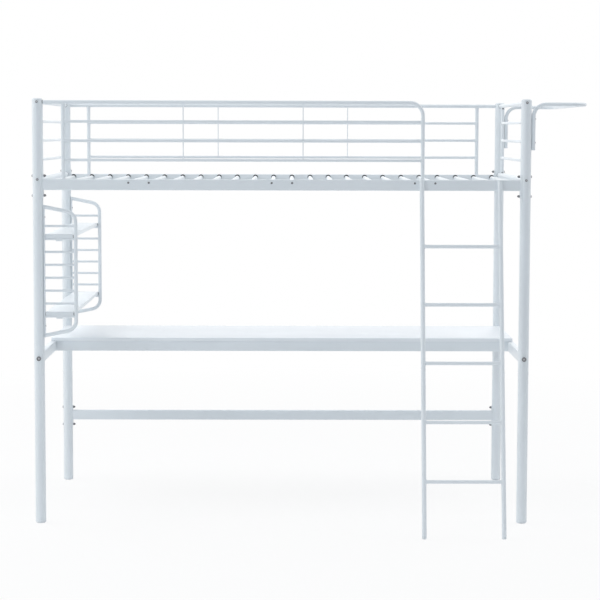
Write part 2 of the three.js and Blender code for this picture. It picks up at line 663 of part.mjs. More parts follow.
function makeShelf(name, rodNumber) {
  const rod = rackRods()[rodNumber - 1];
  const top = rod + RACK_ROD_DIAMETER / 2 + SHELF_RISE;
  const lipFoot = rod + RACK_ROD_DIAMETER / 2 + FIT_GAP;
  const hookFoot = rod - RACK_ROD_DIAMETER / 2 - SHELF_HOOK_DROP;
  const fromX = RACK_STRIP_X + RACK_STRIP_THICKNESS / 2 + SHELF_SIDE_GAP;
  const toX = RACK_OUTER_X - RACK_TUBE_DIAMETER / 2 - SHELF_SIDE_GAP;
  const outside = RACK_ROD_DIAMETER / 2 + FIT_GAP + SHELF_WALL;
  const fromY = FRONT - outside;
  const toY = BACK + outside;
  const hookFromX = (fromX + toX - SHELF_HOOK_WIDTH) / 2;
  const tray = box(point(fromX, fromY, lipFoot), point(toX, toY, top));
  const hooks = [fromY, toY - SHELF_WALL].map((y) => {
    return box(point(hookFromX, y, hookFoot), point(hookFromX + SHELF_HOOK_WIDTH, y + SHELF_WALL, top));
  });
  const hollow = box(
    point(fromX + SHELF_WALL, fromY + SHELF_WALL, lipFoot - SHELF_WALL),
    point(toX - SHELF_WALL, toY - SHELF_WALL, top - SHELF_WALL),
  );
  addPiece(name, cut(join([tray, ...hooks]), [hollow]), powderCoat);
}

// Hanging rail: one tube bent to a loop beyond the foot end, its two legs bolted to the posts
function makeHanger() {
  const far = HANGER_LEG_X + HANGER_REACH;
  const corners = [
    point(HANGER_LEG_X, FRONT, HANGER_LEVEL - HANGER_LEG_LENGTH),
    point(HANGER_LEG_X, FRONT, HANGER_LEVEL),
    point(far, FRONT, HANGER_LEVEL),
    point(far, BACK, HANGER_LEVEL),
    point(HANGER_LEG_X, BACK, HANGER_LEVEL),
    point(HANGER_LEG_X, BACK, HANGER_LEVEL - HANGER_LEG_LENGTH),
  ];
  const bends = [HANGER_LEG_BEND, HANGER_LOOP_BEND, HANGER_LOOP_BEND, HANGER_LEG_BEND];
  addPiece("hanger_rack", bentTube(corners, bends, HANGER_TUBE_DIAMETER), powderCoat);
}

// Ladder: it leans on the front rail, bolted through it, and stands on two plastic feet
const LADDER_REST = RAIL_TOP - BEAM_CORNER; // where the tubes' backs meet the rail's front face
const LADDER_LEAN = Math.atan2(LADDER_FOOT_REACH + LADDER_TOP_Y, LADDER_REST);
const LADDER_RADIUS = LADDER_TUBE_DIAMETER / 2;
const LADDER_UP = point(0, Math.sin(LADDER_LEAN), Math.cos(LADDER_LEAN));
const LADDER_LENGTH = RAIL_TOP / Math.cos(LADDER_LEAN) - LADDER_RADIUS * Math.tan(LADDER_LEAN);

// A point on an upright's axis, at a distance along it from the floor
function ladderPoint(x, along) {
  const restY = LADDER_TOP_Y - LADDER_RADIUS / Math.cos(LADDER_LEAN);
  const foot = point(x, restY - LADDER_REST * Math.tan(LADDER_LEAN), 0);
  return foot.addScaledVector(LADDER_UP, along);
}

function makeLadder() {
  const [left, right] = ladderUprights();
  const start = LADDER_FOOT_RISE + FIT_GAP;
  const uprights = [left, right].map((x) =>
    bar(ladderPoint(x, start), ladderPoint(x, LADDER_LENGTH), LADDER_TUBE_DIAMETER, TUBE_SIDES),
  );
  const rungs = spread(RUNG_FIRST, LADDER_LENGTH - RUNG_LAST, RUNG_COUNT).map((along) =>
    bar(ladderPoint(left, along), ladderPoint(right, along), RUNG_DIAMETER, TUBE_SIDES),
  );
  const bore = LADDER_TUBE_DIAMETER - 2 * LADDER_TUBE_WALL;
  const bores = [left, right].map((x) =>
    bar(ladderPoint(x, 0), ladderPoint(x, LADDER_LENGTH - 2 * LADDER_TUBE_WALL), bore, TUBE_SIDES),
  );
  addPiece("ladder", cut(join([...uprights, ...rungs]), bores), powderCoat);
}

function makeLadderFoot(name, x) {
  const plug = LADDER_RADIUS - LADDER_TUBE_WALL - FIT_GAP;
  const sunk = LADDER_FOOT_ROUNDING; // the moulding starts this far below the floor and is cut flat on it
  const rise = LADDER_FOOT_RISE + sunk;
  const profile = footProfile(LADDER_RADIUS, plug, rise, LADDER_FOOT_PLUG, LADDER_FOOT_ROUNDING);
  const moulding = turned(profile, TUBE_SIDES).translate(0, 0, -sunk).rotateX(-LADDER_LEAN);
  const foot = ladderPoint(x, 0);
  const reach = LADDER_TUBE_DIAMETER;
  const belowFloor = box(point(x - reach, foot.y - reach, -reach), point(x + reach, foot.y + reach, 0));
  addPiece(name, solidOf(moulding.translate(foot.x, foot.y, foot.z)).subtract(belowFloor), whitePlastic);
}

function makePosts() {
  const corners = [
    ["front_left", -HALF_LENGTH, FRONT],
    ["front_right", HALF_LENGTH, FRONT],
    ["back_left", -HALF_LENGTH, BACK],
    ["back_right", HALF_LENGTH, BACK],
  ];
  corners.forEach(([corner, x, y]) => {
    const alongX = y === BACK ? [...RAIL_BOLTS, ...LOWER_BEAM_BOLTS] : RAIL_BOLTS;
    makePost("post_" + corner, x, y, alongX, [DESK_BEAM_CENTRE]);
    makeCap("cap_" + corner, x, y);
    makeFoot("foot_" + corner, x, y);
  });
}

makePosts();
makeRails();
makeSlats();
makeFrontGuard();
makeBackGuard();
makeEndFrame("end_frame_left", -HALF_LENGTH);
makeEndFrame("end_frame_right", HALF_LENGTH);
makeDesk();
makeRackFrame("rack_frame_front", FRONT);
makeRackFrame("rack_frame_back", BACK);
makeShelf("shelf_upper", UPPER_SHELF_ROD);
makeShelf("shelf_lower", LOWER_SHELF_ROD);
makeHanger();
makeLadder();
makeLadderFoot("ladder_foot_left", ladderUprights()[0]);
makeLadderFoot("ladder_foot_right", ladderUprights()[1]);

// The origin is the middle of the whole footprint, on the floor
const extent = new THREE.Box3().setFromObject(bed);
const middle = extent.getCenter(new THREE.Vector3());
bed.position.set(-middle.x, -middle.y, -extent.min.z);
bed.updateMatrixWorld(true);

export default bed;
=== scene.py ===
import math

import bmesh
import bpy
from mathutils import Matrix, Vector


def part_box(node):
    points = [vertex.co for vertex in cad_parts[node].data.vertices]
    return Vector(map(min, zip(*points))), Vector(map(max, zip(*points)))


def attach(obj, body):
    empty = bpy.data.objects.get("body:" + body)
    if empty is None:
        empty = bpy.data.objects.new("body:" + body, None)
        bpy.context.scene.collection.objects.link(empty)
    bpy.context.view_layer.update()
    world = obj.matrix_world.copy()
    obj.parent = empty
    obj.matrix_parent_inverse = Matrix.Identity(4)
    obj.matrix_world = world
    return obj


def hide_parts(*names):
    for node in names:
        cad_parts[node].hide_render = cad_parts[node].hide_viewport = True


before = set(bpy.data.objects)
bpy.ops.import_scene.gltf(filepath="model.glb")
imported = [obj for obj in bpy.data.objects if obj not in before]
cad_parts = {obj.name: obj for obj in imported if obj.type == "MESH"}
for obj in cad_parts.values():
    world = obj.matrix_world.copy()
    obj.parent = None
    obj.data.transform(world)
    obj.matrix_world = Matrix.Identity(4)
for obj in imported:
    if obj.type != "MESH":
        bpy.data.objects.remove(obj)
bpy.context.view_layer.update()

# Sizes in millimetres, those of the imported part, in the bed's own frame:
# x from its middle, y from the front posts' axes, z from the floor
FIT_GAP = 0.3
SUNK = 1.6  # how far a tube's end goes into what it is welded or fastened to

HALF_LENGTH = 1014
FRONT = 0
BACK = 1010
POST_RADIUS = 22
POST_SEAT = POST_RADIUS + FIT_GAP
BED_HEIGHT = 1781
CAP_ROUNDING = 8
CAP_CROWN = 0.5
CAP_PLUG_INSET = 1.2
FOOT_RISE = 10
FOOT_ROUNDING = 7
FOOT_STEP = 0.8
FOOT_PLUG_INSET = 0.9

BEAM_HEIGHT = 45
BEAM_THICKNESS = 25
BEAM_CORNER = 4
RAIL_TOP = 1446
LOWER_BEAM_TOP = 332
DESK_BEAM_TOP = 720

SADDLE_HEIGHT = 98
SADDLE_WALL = 2.5
SADDLE_WRAP = math.radians(41)
SADDLE_CORNER = 12
SADDLE_DROP = 4
SADDLE_BOLT_PITCH = 82
SADDLE_EDGE = 0.7
SADDLE_CLEARANCE = 0.05
CHAMFER_SHARE = 0.3  # place of a rounded edge's middle ring, as a share of the edge

BOLT_HEAD_RADIUS = 6
BOLT_HEAD_HEIGHT = 5
BOLT_RIM_SHARE = 0.25  # height of a head's straight rim
BOLT_DOME_TURN = math.radians(58)
BOLT_SHANK_SHARE = 0.4
SMALL_HEAD_RADIUS = 4
SMALL_HEAD_HEIGHT = 2.5
SOCKET_RADIUS = 2.6
SOCKET_DEPTH = 2.4
SOCKET_MOUTH_SHARE = 0.9
# Lighter discs at the bottoms of dark sockets, painted highlights: their fit and height
HIGHLIGHT_DISC_GAP = 0.1
HIGHLIGHT_DISC_HEIGHT = 0.4
NUT_RADIUS = 6
NUT_FLAT_SHARE = 0.87  # a hexagon's inner radius as a share of its outer one
NUT_HEIGHT = 10
NUT_SHOULDER = 5
NUT_DOME_SHARE = 0.8
NUT_DOME_SUNK = 1

SLAT_COUNT = 24
SLAT_END_INSET = 36.5
SLAT_RADIUS = 9.5
SLAT_DROP = 16
# Near-black rings round the slats' ends against the rails: painted shade of the gap where each slat goes
# into its rail
SLAT_SHADE_RING_RADIUS = 11.2
SLAT_SHADE_RING_RISE = 2.5
SLAT_SHADE_RING_LIFT = 3.9  # the shade rings' axes above the slats' axes, so that the painted shade shows as a dark crescent above each slat
SLAT_SHADE_RING_EDGE = 0.7
SLAT_SHADE_RING_SIDE_SHARE = 0.6
SLAT_SCREW_AT = (42.5, 552.5, 637.5)
SLAT_SCREW_LEVEL = 1432
SLAT_SCREW_RADIUS = 4.4
SLAT_SCREW_HEIGHT = 3

GUARD_TOP = 1765
GUARD_ROD_COUNT = 3
GUARD_TUBE_RADIUS = 8
GUARD_ROD_RADIUS = 6
GUARD_UPRIGHT_INSET = 107
GUARD_BEND_RADIUS = 54
STAY_THICKNESS = 4
STAY_DEPTH = 12
STAY_EDGE = 0.5
LADDER_GAP = 429
# Near-black rings where tube ends meet posts, painted shade of those gaps: how far they rise
JOINT_SHADE_RISE = 2
# A thin near-black disc at the front guard's top tube end: painted shade of the gap against the post
JOINT_SHADE_DISC_LENGTH = 0.9
JOINT_SHADE_DISC_RADIUS = 8.4

END_LOW_LEVEL = 1444
END_LOW_RADIUS = 12.5
END_UPRIGHT_INSET = 120
END_BOLT_LEVELS = (1766, 1445)
END_BOLT_RADIUS = 5.4
END_DOT_LEVELS = (1753, 1458)
END_DOT_RADIUS = 4

DESKTOP_THICKNESS = 15
DESKTOP_DEPTH = 538
DESKTOP_SIDE_REACH = 7
DESKTOP_CORNER = 5
DESKTOP_EDGE = 1.2
DESK_FRONT_OVERHANG = 17
DESK_REAR_OVERHANG = 12
DESK_BOLT_RADIUS = 9.5
DESK_BOLT_HEIGHT = 5
DESK_BOLT_SOCKET_RADIUS = 4
DESK_BOLT_SOCKET_DEPTH = 3.5
DESK_BOLT_MOUTH = 0.5
DESK_BOLT_EDGE = 1.2
DESK_BOLT_EDGE_STEP = 0.4

RACK_REACH = 155
RACK_HIGH = 1331
RACK_LOW = 793
RACK_TAPER = 26
RACK_BEND_RADIUS = 45
RACK_TUBE_RADIUS = 8
RACK_STRIP_THICKNESS = 5
RACK_STRIP_WIDTH = 20
RACK_STRIP_EDGE = 0.6
RACK_ROD_RADIUS = 5
RACK_ROD_COUNT = 8
RACK_ROD_MARGIN = 80
RACK_BOLT_LEVELS = (1288, 833)

SHELF_SIDE_GAP = 2
SHELF_WALL = 1.5
SHELF_RISE = 15
SHELF_FOLD = 2.5
SHELF_EDGE = 0.3
SHELF_HOOK_WIDTH = 28
SHELF_HOOK_DROP = 4
SHELF_FACE_INSET = 0.1  # keeps the faces of hooks and side lips off those of the end lips
SHELF_LIP_COVER = 0.4  # the end lips cover the sheet's ends by this much
SHELF_END_LAP = 1.5  # the end lips stand outside the rods and reach this far below the rods' tops
# Near-black blocks at the right-hand ends of the shelves' end lips: painted shade of the gaps there
SHELF_SHADE_LENGTH = 1.7
SHELF_SHADE_DEPTH = 1.5
SHELF_SHADE_SUNK = 0.3
SHELF_SHADE_EDGE = 0.2
UPPER_SHELF_ROD = 2
LOWER_SHELF_ROD = 8

HANGER_RADIUS = 8
HANGER_LEVEL = 1760
HANGER_LEG_LENGTH = 190
HANGER_REACH = 220
HANGER_LEG_BEND = 50
HANGER_LOOP_BEND = 60
HANGER_BOLT_LEVELS = (1699.5, 1602)
HANGER_BOLT_SUNK = 0.5
FACET_INSET = 0.4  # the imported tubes' flats lie this far inside their circles

LADDER_RADIUS = 9.5
LADDER_WIDTH = 324
LADDER_OFFSET = 4
LADDER_FOOT_REACH = 322
RUNG_COUNT = 5
RUNG_FIRST = 232
RUNG_LAST = 277
RUNG_RADIUS = 7.5
LADDER_FOOT_RISE = 12
LADDER_FOOT_ROUNDING = 5
LADDER_FOOT_STEP = 0.6
LADDER_FOOT_PLUG_INSET = 0.8

# Sizes that follow from the ones above
RAIL_CENTRE = RAIL_TOP - BEAM_HEIGHT / 2
LOWER_BEAM_CENTRE = LOWER_BEAM_TOP - BEAM_HEIGHT / 2
DESK_BEAM_CENTRE = DESK_BEAM_TOP - BEAM_HEIGHT / 2
CAP_SEAT = BED_HEIGHT - CAP_CROWN - CAP_ROUNDING
POST_TOP = CAP_SEAT - FIT_GAP
SLAT_LEVEL = RAIL_TOP - SLAT_DROP
GUARD_UPRIGHT_X = HALF_LENGTH - GUARD_UPRIGHT_INSET
LADDER_GAP_X = HALF_LENGTH - LADDER_GAP
LADDER_LEFT_X = LADDER_GAP_X - LADDER_OFFSET
LADDER_REST = RAIL_TOP - BEAM_CORNER
LADDER_TOP_Y = -BEAM_THICKNESS / 2 - FIT_GAP
LADDER_LEAN = math.atan2(LADDER_FOOT_REACH + LADDER_TOP_Y, LADDER_REST)
LADDER_LENGTH = RAIL_TOP / math.cos(LADDER_LEAN) - LADDER_RADIUS * math.tan(LADDER_LEAN)
DESKTOP_BACK_Y = BACK - POST_SEAT
DESKTOP_FRONT_Y = DESKTOP_BACK_Y - DESKTOP_DEPTH
RACK_STRIP_X = -HALF_LENGTH + POST_SEAT + RACK_STRIP_THICKNESS / 2
RACK_OUTER_X = -HALF_LENGTH + RACK_REACH
HANGER_LEG_X = HALF_LENGTH + POST_SEAT + HANGER_RADIUS

# The posts: name and place
CORNERS = (
    ("front_left", -HALF_LENGTH, FRONT),
    ("front_right", HALF_LENGTH, FRONT),
    ("back_left", -HALF_LENGTH, BACK),
    ("back_right", HALF_LENGTH, BACK),
)

# Facets round each section, and points or steps along each curve
POST_SIDES = 48
LADDER_SIDES = 32
TUBE_SIDES = 28
ROD_SIDES = 20
BOLT_SIDES = 24
DESK_BOLT_SIDES = 36
WELD_SIDES = 20
BEND_STEPS = 14
FOLD_STEPS = 5
CORNER_STEPS = 6
CAP_POINTS = 8
FOOT_POINTS = 8
LADDER_FOOT_POINTS = 6
BOLT_DOME_POINTS = 6
NUT_DOME_POINTS = 7
SADDLE_CORNER_POINTS = 7
SADDLE_MIDDLE_POINTS = 9
SHARP_ANGLE = math.radians(32)

# The camera, fitted to the photograph: place in millimetres of the bed, turns in radians
CAMERA_AT = Vector((32.706, -7959.159, 1642.384))
CAMERA_PITCH = 0.0875474
CAMERA_YAW = 0.0054939
CAMERA_ROLL = -0.0023548
CAMERA_FOCAL_SHARE = 3.18527  # focal length as a share of the image's width
CAMERA_RANGE = 100
SENSOR_WIDTH = 36

X = Vector((1, 0, 0))
Y = Vector((0, 1, 0))
Z = Vector((0, 0, 1))
NEARLY_UPRIGHT = 0.9


# Places and closed surfaces
def middle(name):
    low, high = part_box(name)
    return (low + high) / 2


# Where the bed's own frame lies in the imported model, in metres
LEFT_POST = middle("post_front_left")
RIGHT_POST = middle("post_front_right")
ORIGIN = Vector(((LEFT_POST.x + RIGHT_POST.x) / 2, LEFT_POST.y, 0))


def in_metres(at):
    """A point of the bed in millimetres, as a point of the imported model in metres."""
    return ORIGIN + Vector(at) / 1000


def spread(first, last, count):
    return [first + (last - first) * i / (count - 1) for i in range(count)]


def across(along):
    """Two directions at right angles to this one and to each other."""
    side = X.copy() if abs(along.z) > NEARLY_UPRIGHT else Z.cross(along).normalized()
    return side, along.cross(side)


def hexagon_radius(inner_radius, angle):
    """Distance from the centre to a hexagon's edge in this direction."""
    return inner_radius / math.cos((angle % (math.pi / 3)) - math.pi / 6)


class Shell:
    """The closed surfaces of one piece, in millimetres of the bed."""

    def __init__(self):
        self.points = []
        self.faces = []

    def ring(self, points):
        first = len(self.points)
        self.points.extend(Vector(p) for p in points)
        return list(range(first, len(self.points)))

    def skin(self, one, other):
        if len(one) == 1:
            one, other = other, one
        count = len(one)
        for i in range(count):
            j = (i + 1) % count
            if len(other) == 1:
                self.faces.append((one[i], one[j], other[0]))
            else:
                self.faces.append((one[i], one[j], other[j], other[i]))

    def loft(self, rings, looped=False):
        """Skins the rings one after the other. The ends are closed, or joined to each other."""
        made = [self.ring(points) for points in rings]
        for one, other in zip(made, made[1:]):
            self.skin(one, other)
        if looped:
            self.skin(made[-1], made[0])
            return
        for end in (made[0], made[-1]):
            if len(end) > 2:
                self.faces.append(tuple(end))

    def close_strip(self, ring):
        """Closes an end whose ring runs out along one edge and back along the other."""
        last = len(ring) - 1
        for i in range(len(ring) // 2 - 1):
            self.faces.append((ring[i], ring[i + 1], ring[last - 1 - i], ring[last - i]))

    def tube(self, stations, radius, sides=TUBE_SIDES):
        self.sweep(stations, [(radius * math.cos(a), radius * math.sin(a)) for a in turns(sides)])

    def sweep(self, stations, outline):
        """Carries an outline along stations of a point and a direction, without twist."""
        before = stations[0][1]
        side, up = across(before)
        rings = []
        for at, along in stations:
            turn = before.rotation_difference(along)
            side, up, before = turn @ side, turn @ up, along
            rings.append([at + side * u + up * v for u, v in outline])
        self.loft(rings)

    def bar(self, start, end, radius, sides=TUBE_SIDES):
        along = (end - start).normalized()
        self.tube([(start, along), (end, along)], radius, sides)

    def turned(self, profile, seat, along, sides=BOLT_SIDES, looped=False):
        """Turns a profile of (radius, height) about an axis. A third value asks for a hexagon."""
        side, up = across(along)
        rings = []
        for radius, height, *hexed in profile:
            centre = seat + along * height
            if radius == 0:
                rings.append([centre])
                continue
            ring = []
            for angle in turns(sides):
                reach = hexagon_radius(radius, angle) if hexed else radius
                ring.append(centre + side * reach * math.cos(angle) + up * reach * math.sin(angle))
            rings.append(ring)
        self.loft(rings, looped)

    def box(self, low, high, edge):
        """A block along the axes, with a small chamfer on each of its edges."""
        outline = rounded_outline(high[0] - low[0], high[1] - low[1], edge, 1)
        centre_x = (low[0] + high[0]) / 2
        centre_y = (low[1] + high[1]) / 2
        rings = []
        for z, inset in ((low[2], edge), (low[2] + edge, 0), (high[2] - edge, 0), (high[2], edge)):
            ring = []
            for u, v in outline:
                ring.append(Vector((centre_x + shrink(u, inset), centre_y + shrink(v, inset), z)))
            rings.append(ring)
        self.loft(rings)


def shrink(value, by):
    """Brings a value nearer to zero, and not past it."""
    return math.copysign(max(abs(value) - by, 0), value)


def turns(sides):
    """Angles round a circle, with a flat side across each axis."""
    return [2 * math.pi * (i + 0.5) / sides for i in range(sides)]


def rounded_outline(width, height, radius, steps):
    """The points of a rectangle with rounded corners, round its middle."""
    corners = (
        (width / 2 - radius, height / 2 - radius),
        (radius - width / 2, height / 2 - radius),
        (radius - width / 2, radius - height / 2),
        (width / 2 - radius, radius - height / 2),
    )
    outline = []
    for quarter, (u, v) in enumerate(corners):
        for i in range(steps + 1):
            angle = math.pi / 2 * (quarter + i / steps)
            outline.append((u + radius * math.cos(angle), v + radius * math.sin(angle)))
    return outline


def bent(corners, radii):
    """Stations of a bent tube's centre line, with each inner corner rounded to its bend radius."""
    stations = [(corners[0], (corners[1] - corners[0]).normalized())]
    for before, corner, after, radius in zip(corners, corners[1:], corners[2:], radii):
        arriving = (corner - before).normalized()
        leaving = (after - corner).normalized()
        turn = arriving.angle(leaving)
        axis = arriving.cross(leaving).normalized()
        start = corner - arriving * radius * math.tan(turn / 2)
        centre = start + axis.cross(arriving) * radius
        for i in range(BEND_STEPS + 1):
            turned = Matrix.Rotation(turn * i / BEND_STEPS, 3, axis)
            stations.append((centre + turned @ (start - centre), turned @ arriving))
    stations.append((corners[-1], (corners[-1] - corners[-2]).normalized()))
    return stations


def piece(name, shell, material, body="bed", stands_for=()):
    """Makes the object of a shell, and fastens it to its body."""
    mesh = bpy.data.meshes.new(name)
    mesh.from_pydata([in_metres(p) for p in shell.points], [], shell.faces)
    work = bmesh.new()
    work.from_mesh(mesh)
    bmesh.ops.recalc_face_normals(work, faces=work.faces)
    work.to_mesh(mesh)
    work.free()
    mesh.shade_smooth()
    mesh.set_sharp_from_angle(angle=SHARP_ANGLE)
    mesh.materials.append(material)
    made = bpy.data.objects.new(name, mesh)
    bpy.context.scene.collection.objects.link(made)
    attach(made, body)
    if stands_for:
        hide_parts(*stands_for)


# Materials
NOISE_LOW = 0.3  # the part of a noise's range that is stretched over the whole change
NOISE_HIGH = 0.7


def add_node(tree, kind, inputs=None, **settings):
    made = tree.nodes.new(kind)
    for key, value in settings.items():
        setattr(made, key, value)
    for key, value in (inputs or {}).items():
        if isinstance(value, bpy.types.NodeSocket):
            tree.links.new(value, made.inputs[key])
        else:
            made.inputs[key].default_value = value
    return made


def new_material(name):
    made = bpy.data.materials.new(name)
    made.use_nodes = True
    tree = made.node_tree
    return made, tree, tree.nodes["Principled BSDF"]


def noise(tree, place, scale, detail=2.0):
    inputs = {"Vector": place, "Scale": scale, "Detail": detail}
    return add_node(tree, "ShaderNodeTexNoise", inputs).outputs["Fac"]


def blend_colours(tree, share, first, second):
    """Mixes two colours. Inputs 6 and 7 and output 2 are the sockets that the node has for colours."""
    mixed = add_node(tree, "ShaderNodeMix", data_type="RGBA")
    tree.links.new(share, mixed.inputs[0])
    mixed.inputs[6].default_value = (*first, 1)
    mixed.inputs[7].default_value = (*second, 1)
    return mixed.outputs[2]


def ranged(tree, value, low, high, out_low, out_high):
    inputs = {"Value": value, "From Min": low, "From Max": high, "To Min": out_low, "To Max": out_high}
    return add_node(tree, "ShaderNodeMapRange", inputs).outputs["Result"]


def surface(name, colours, cloud_scale, roughness, roughness_scale, grain):
    """Clouded colour, varied roughness and a fine grain of bumps of a scale, strength and height."""
    made, tree, shader = new_material(name)
    place = add_node(tree, "ShaderNodeTexCoord").outputs["Object"]
    cloud = ranged(tree, noise(tree, place, cloud_scale, detail=3.0), NOISE_LOW, NOISE_HIGH, 0, 1)
    tree.links.new(blend_colours(tree, cloud, *colours), shader.inputs["Base Color"])
    rough = ranged(tree, noise(tree, place, roughness_scale), NOISE_LOW, NOISE_HIGH, *roughness)
    tree.links.new(rough, shader.inputs["Roughness"])
    grain_scale, grain_strength, grain_height = grain
    grains = noise(tree, place, grain_scale, detail=1.0)
    inputs = {"Strength": grain_strength, "Distance": grain_height, "Height": grains}
    bump = add_node(tree, "ShaderNodeBump", inputs)
    tree.links.new(bump.outputs["Normal"], shader.inputs["Normal"])
    return made, shader


def make_powder_coat():
    return surface(
        "powder_coat",
        colours=((0.79, 0.835, 0.865), (0.82, 0.86, 0.888)),
        cloud_scale=2.4,
        roughness=(0.34, 0.44),
        roughness_scale=45,
        grain=(520, 0.12, 0.0004),
    )[0]


def make_melamine():
    return surface(
        "melamine",
        colours=((0.835, 0.872, 0.905), (0.862, 0.895, 0.925)),
        cloud_scale=5.0,
        roughness=(0.4, 0.5),
        roughness_scale=60,
        grain=(900, 0.1, 0.0002),
    )[0]


def make_white_plastic():
    return surface(
        "white_plastic",
        colours=((0.76, 0.805, 0.835), (0.79, 0.83, 0.858)),
        cloud_scale=30,
        roughness=(0.42, 0.54),
        roughness_scale=90,
        grain=(1300, 0.15, 0.0002),
    )[0]


# Near-black material for the thin pieces set into gaps at joints and corners: painted shade of those gaps
def make_painted_gap_shade():
    return surface(
        "painted_gap_shade",
        colours=((0.02, 0.022, 0.026), (0.035, 0.038, 0.043)),
        cloud_scale=40,
        roughness=(0.6, 0.75),
        roughness_scale=90,
        grain=(1500, 0.15, 0.0002),
    )[0]


def make_dark_steel():
    made, shader = surface(
        "dark_steel",
        colours=((0.16, 0.166, 0.176), (0.23, 0.238, 0.25)),
        cloud_scale=160,
        roughness=(0.3, 0.48),
        roughness_scale=400,
        grain=(2200, 0.12, 0.0001),
    )
    shader.inputs["Metallic"].default_value = 0.85
    return made


def make_zinc():
    made, shader = surface(
        "zinc",
        colours=((0.42, 0.43, 0.45), (0.5, 0.51, 0.53)),
        cloud_scale=160,
        roughness=(0.3, 0.45),
        roughness_scale=400,
        grain=(2200, 0.12, 0.0001),
    )
    shader.inputs["Metallic"].default_value = 0.8
    return made


POWDER_COAT = make_powder_coat()
MELAMINE = make_melamine()
WHITE_PLASTIC = make_white_plastic()
PAINTED_GAP_SHADE = make_painted_gap_shade()
DARK_STEEL = make_dark_steel()
ZINC = make_zinc()

# Parts that repeat. A weld's and a joint shade ring's profiles start from the tube's own radius; a joint
# shade ring is painted shade of the gap where a tube's end meets a post.
WELD_PROFILE = ((-0.8, 3.6), (0.5, 2.8), (1.3, 1.5), (2.8, 0.4), (3.0, -1.0), (-0.8, -1.0))
RACK_WELD_SHARE = 0.5  # the rack's beads are smaller, to stay clear of the shelves
RACK_WELD_PROFILE = tuple((reach * RACK_WELD_SHARE, rise * RACK_WELD_SHARE) for reach, rise in WELD_PROFILE)
JOINT_SHADE_PROFILE = (
    (-3.0, JOINT_SHADE_RISE),
    (0.2, JOINT_SHADE_RISE),
    (0.5, JOINT_SHADE_RISE - 0.5),
    (0.5, -1.0),
    (-3.0, -1.0),
)
SLAT_SHADE_RING_PROFILE = (
    (0, -SUNK),
    (SLAT_SHADE_RING_RADIUS, -SUNK),
    (SLAT_SHADE_RING_RADIUS, SLAT_SHADE_RING_RISE * SLAT_SHADE_RING_SIDE_SHARE),
    (SLAT_SHADE_RING_RADIUS - SLAT_SHADE_RING_EDGE, SLAT_SHADE_RING_RISE),
    (0, SLAT_SHADE_RING_RISE),
)


def weld(shell, centre, along, radius, host_radius, host_axis, profile=WELD_PROFILE):
    """A bead round a tube's end that follows a round host. The centre is on the host's axis."""
    side, up = across(along)
    lateral = along.cross(host_axis)
    rings = []
    for reach, height in profile:
        ring = []
        for angle in turns(WELD_SIDES):
            offset = (side * math.cos(angle) + up * math.sin(angle)) * (radius + reach)
            depth = max(host_radius**2 - offset.dot(lateral) ** 2, 0) ** 0.5
            ring.append(centre + offset + along * (depth + height))
        rings.append(ring)
    shell.loft(rings, looped=True)


def flat_weld(shell, seat, along, radius, profile=WELD_PROFILE):
    """The same bead on a flat face."""
    bead = [(radius + reach, height) for reach, height in profile]
    shell.turned(bead, seat, along, WELD_SIDES, looped=True)


def button_head(shell, seat, outward, radius=BOLT_HEAD_RADIUS, height=BOLT_HEAD_HEIGHT):
    """A domed head with a hexagon socket; it bears on the seat and faces outward."""
    dome = []
    for angle in spread(0, BOLT_DOME_TURN, BOLT_DOME_POINTS):
        rise = BOLT_RIM_SHARE + (1 - BOLT_RIM_SHARE) * math.sin(angle)
        dome.append((radius * math.cos(angle), height * rise))
    profile = [(0, height - SOCKET_DEPTH), (SOCKET_RADIUS, height - SOCKET_DEPTH, "hexagon")]
    profile += [(SOCKET_RADIUS, height * SOCKET_MOUTH_SHARE, "hexagon")] + dome[::-1]
    profile += [(radius, 0), (radius * BOLT_SHANK_SHARE, -SUNK), (0, -SUNK)]
    shell.turned(profile, seat, outward)


def painted_highlight_disc(shell, seat, outward, socket_radius):
    """A lighter disc at the bottom of a hexagon socket: painted highlight in the middle of the head."""
    radius, height = socket_radius - HIGHLIGHT_DISC_GAP, HIGHLIGHT_DISC_HEIGHT
    shell.turned([(0, 0), (radius, 0, "hexagon"), (radius, height, "hexagon"), (0, height)], seat, outward)


def cap_nut(shell, seat, outward):
    """A hexagon nut with a dome."""
    flat = NUT_RADIUS * NUT_FLAT_SHARE
    hexagon = [(0, -SUNK), (flat, -SUNK, "hexagon"), (flat, NUT_SHOULDER, "hexagon"), (0, NUT_SHOULDER)]
    shell.turned(hexagon, seat, outward)
    radius = NUT_RADIUS * NUT_DOME_SHARE
    rise = NUT_HEIGHT - NUT_SHOULDER
    foot = NUT_SHOULDER - NUT_DOME_SUNK
    dome = [(0, foot), (radius, foot)]
    for angle in spread(0, math.pi / 2, NUT_DOME_POINTS)[:-1]:
        dome.append((radius * math.cos(angle), NUT_SHOULDER + rise * math.sin(angle)))
    shell.turned(dome + [(0, NUT_HEIGHT)], seat, outward)


def foot_profile(radius, rise, rounding, step, inset, points):
    """A plastic foot, rounded below, with a narrower plug that goes into its tube."""
    profile = [(0, 0)]
    for angle in spread(0, math.pi / 2, points):
        profile.append((radius - rounding * (1 - math.sin(angle)), rounding * (1 - math.cos(angle))))
    return profile + [(radius, rise - step), (radius - inset, rise + SUNK), (0, rise + SUNK)]


def bolt_levels(beam_centre):
    saddle_centre = beam_centre - SADDLE_DROP
    return (saddle_centre + SADDLE_BOLT_PITCH / 2, saddle_centre - SADDLE_BOLT_PITCH / 2)


def cope(aside):
    """Distance of a coped tube's end from the post's axis, at a distance aside of the tube's own axis."""
    return (POST_RADIUS**2 - aside**2) ** 0.5 - SUNK / 2


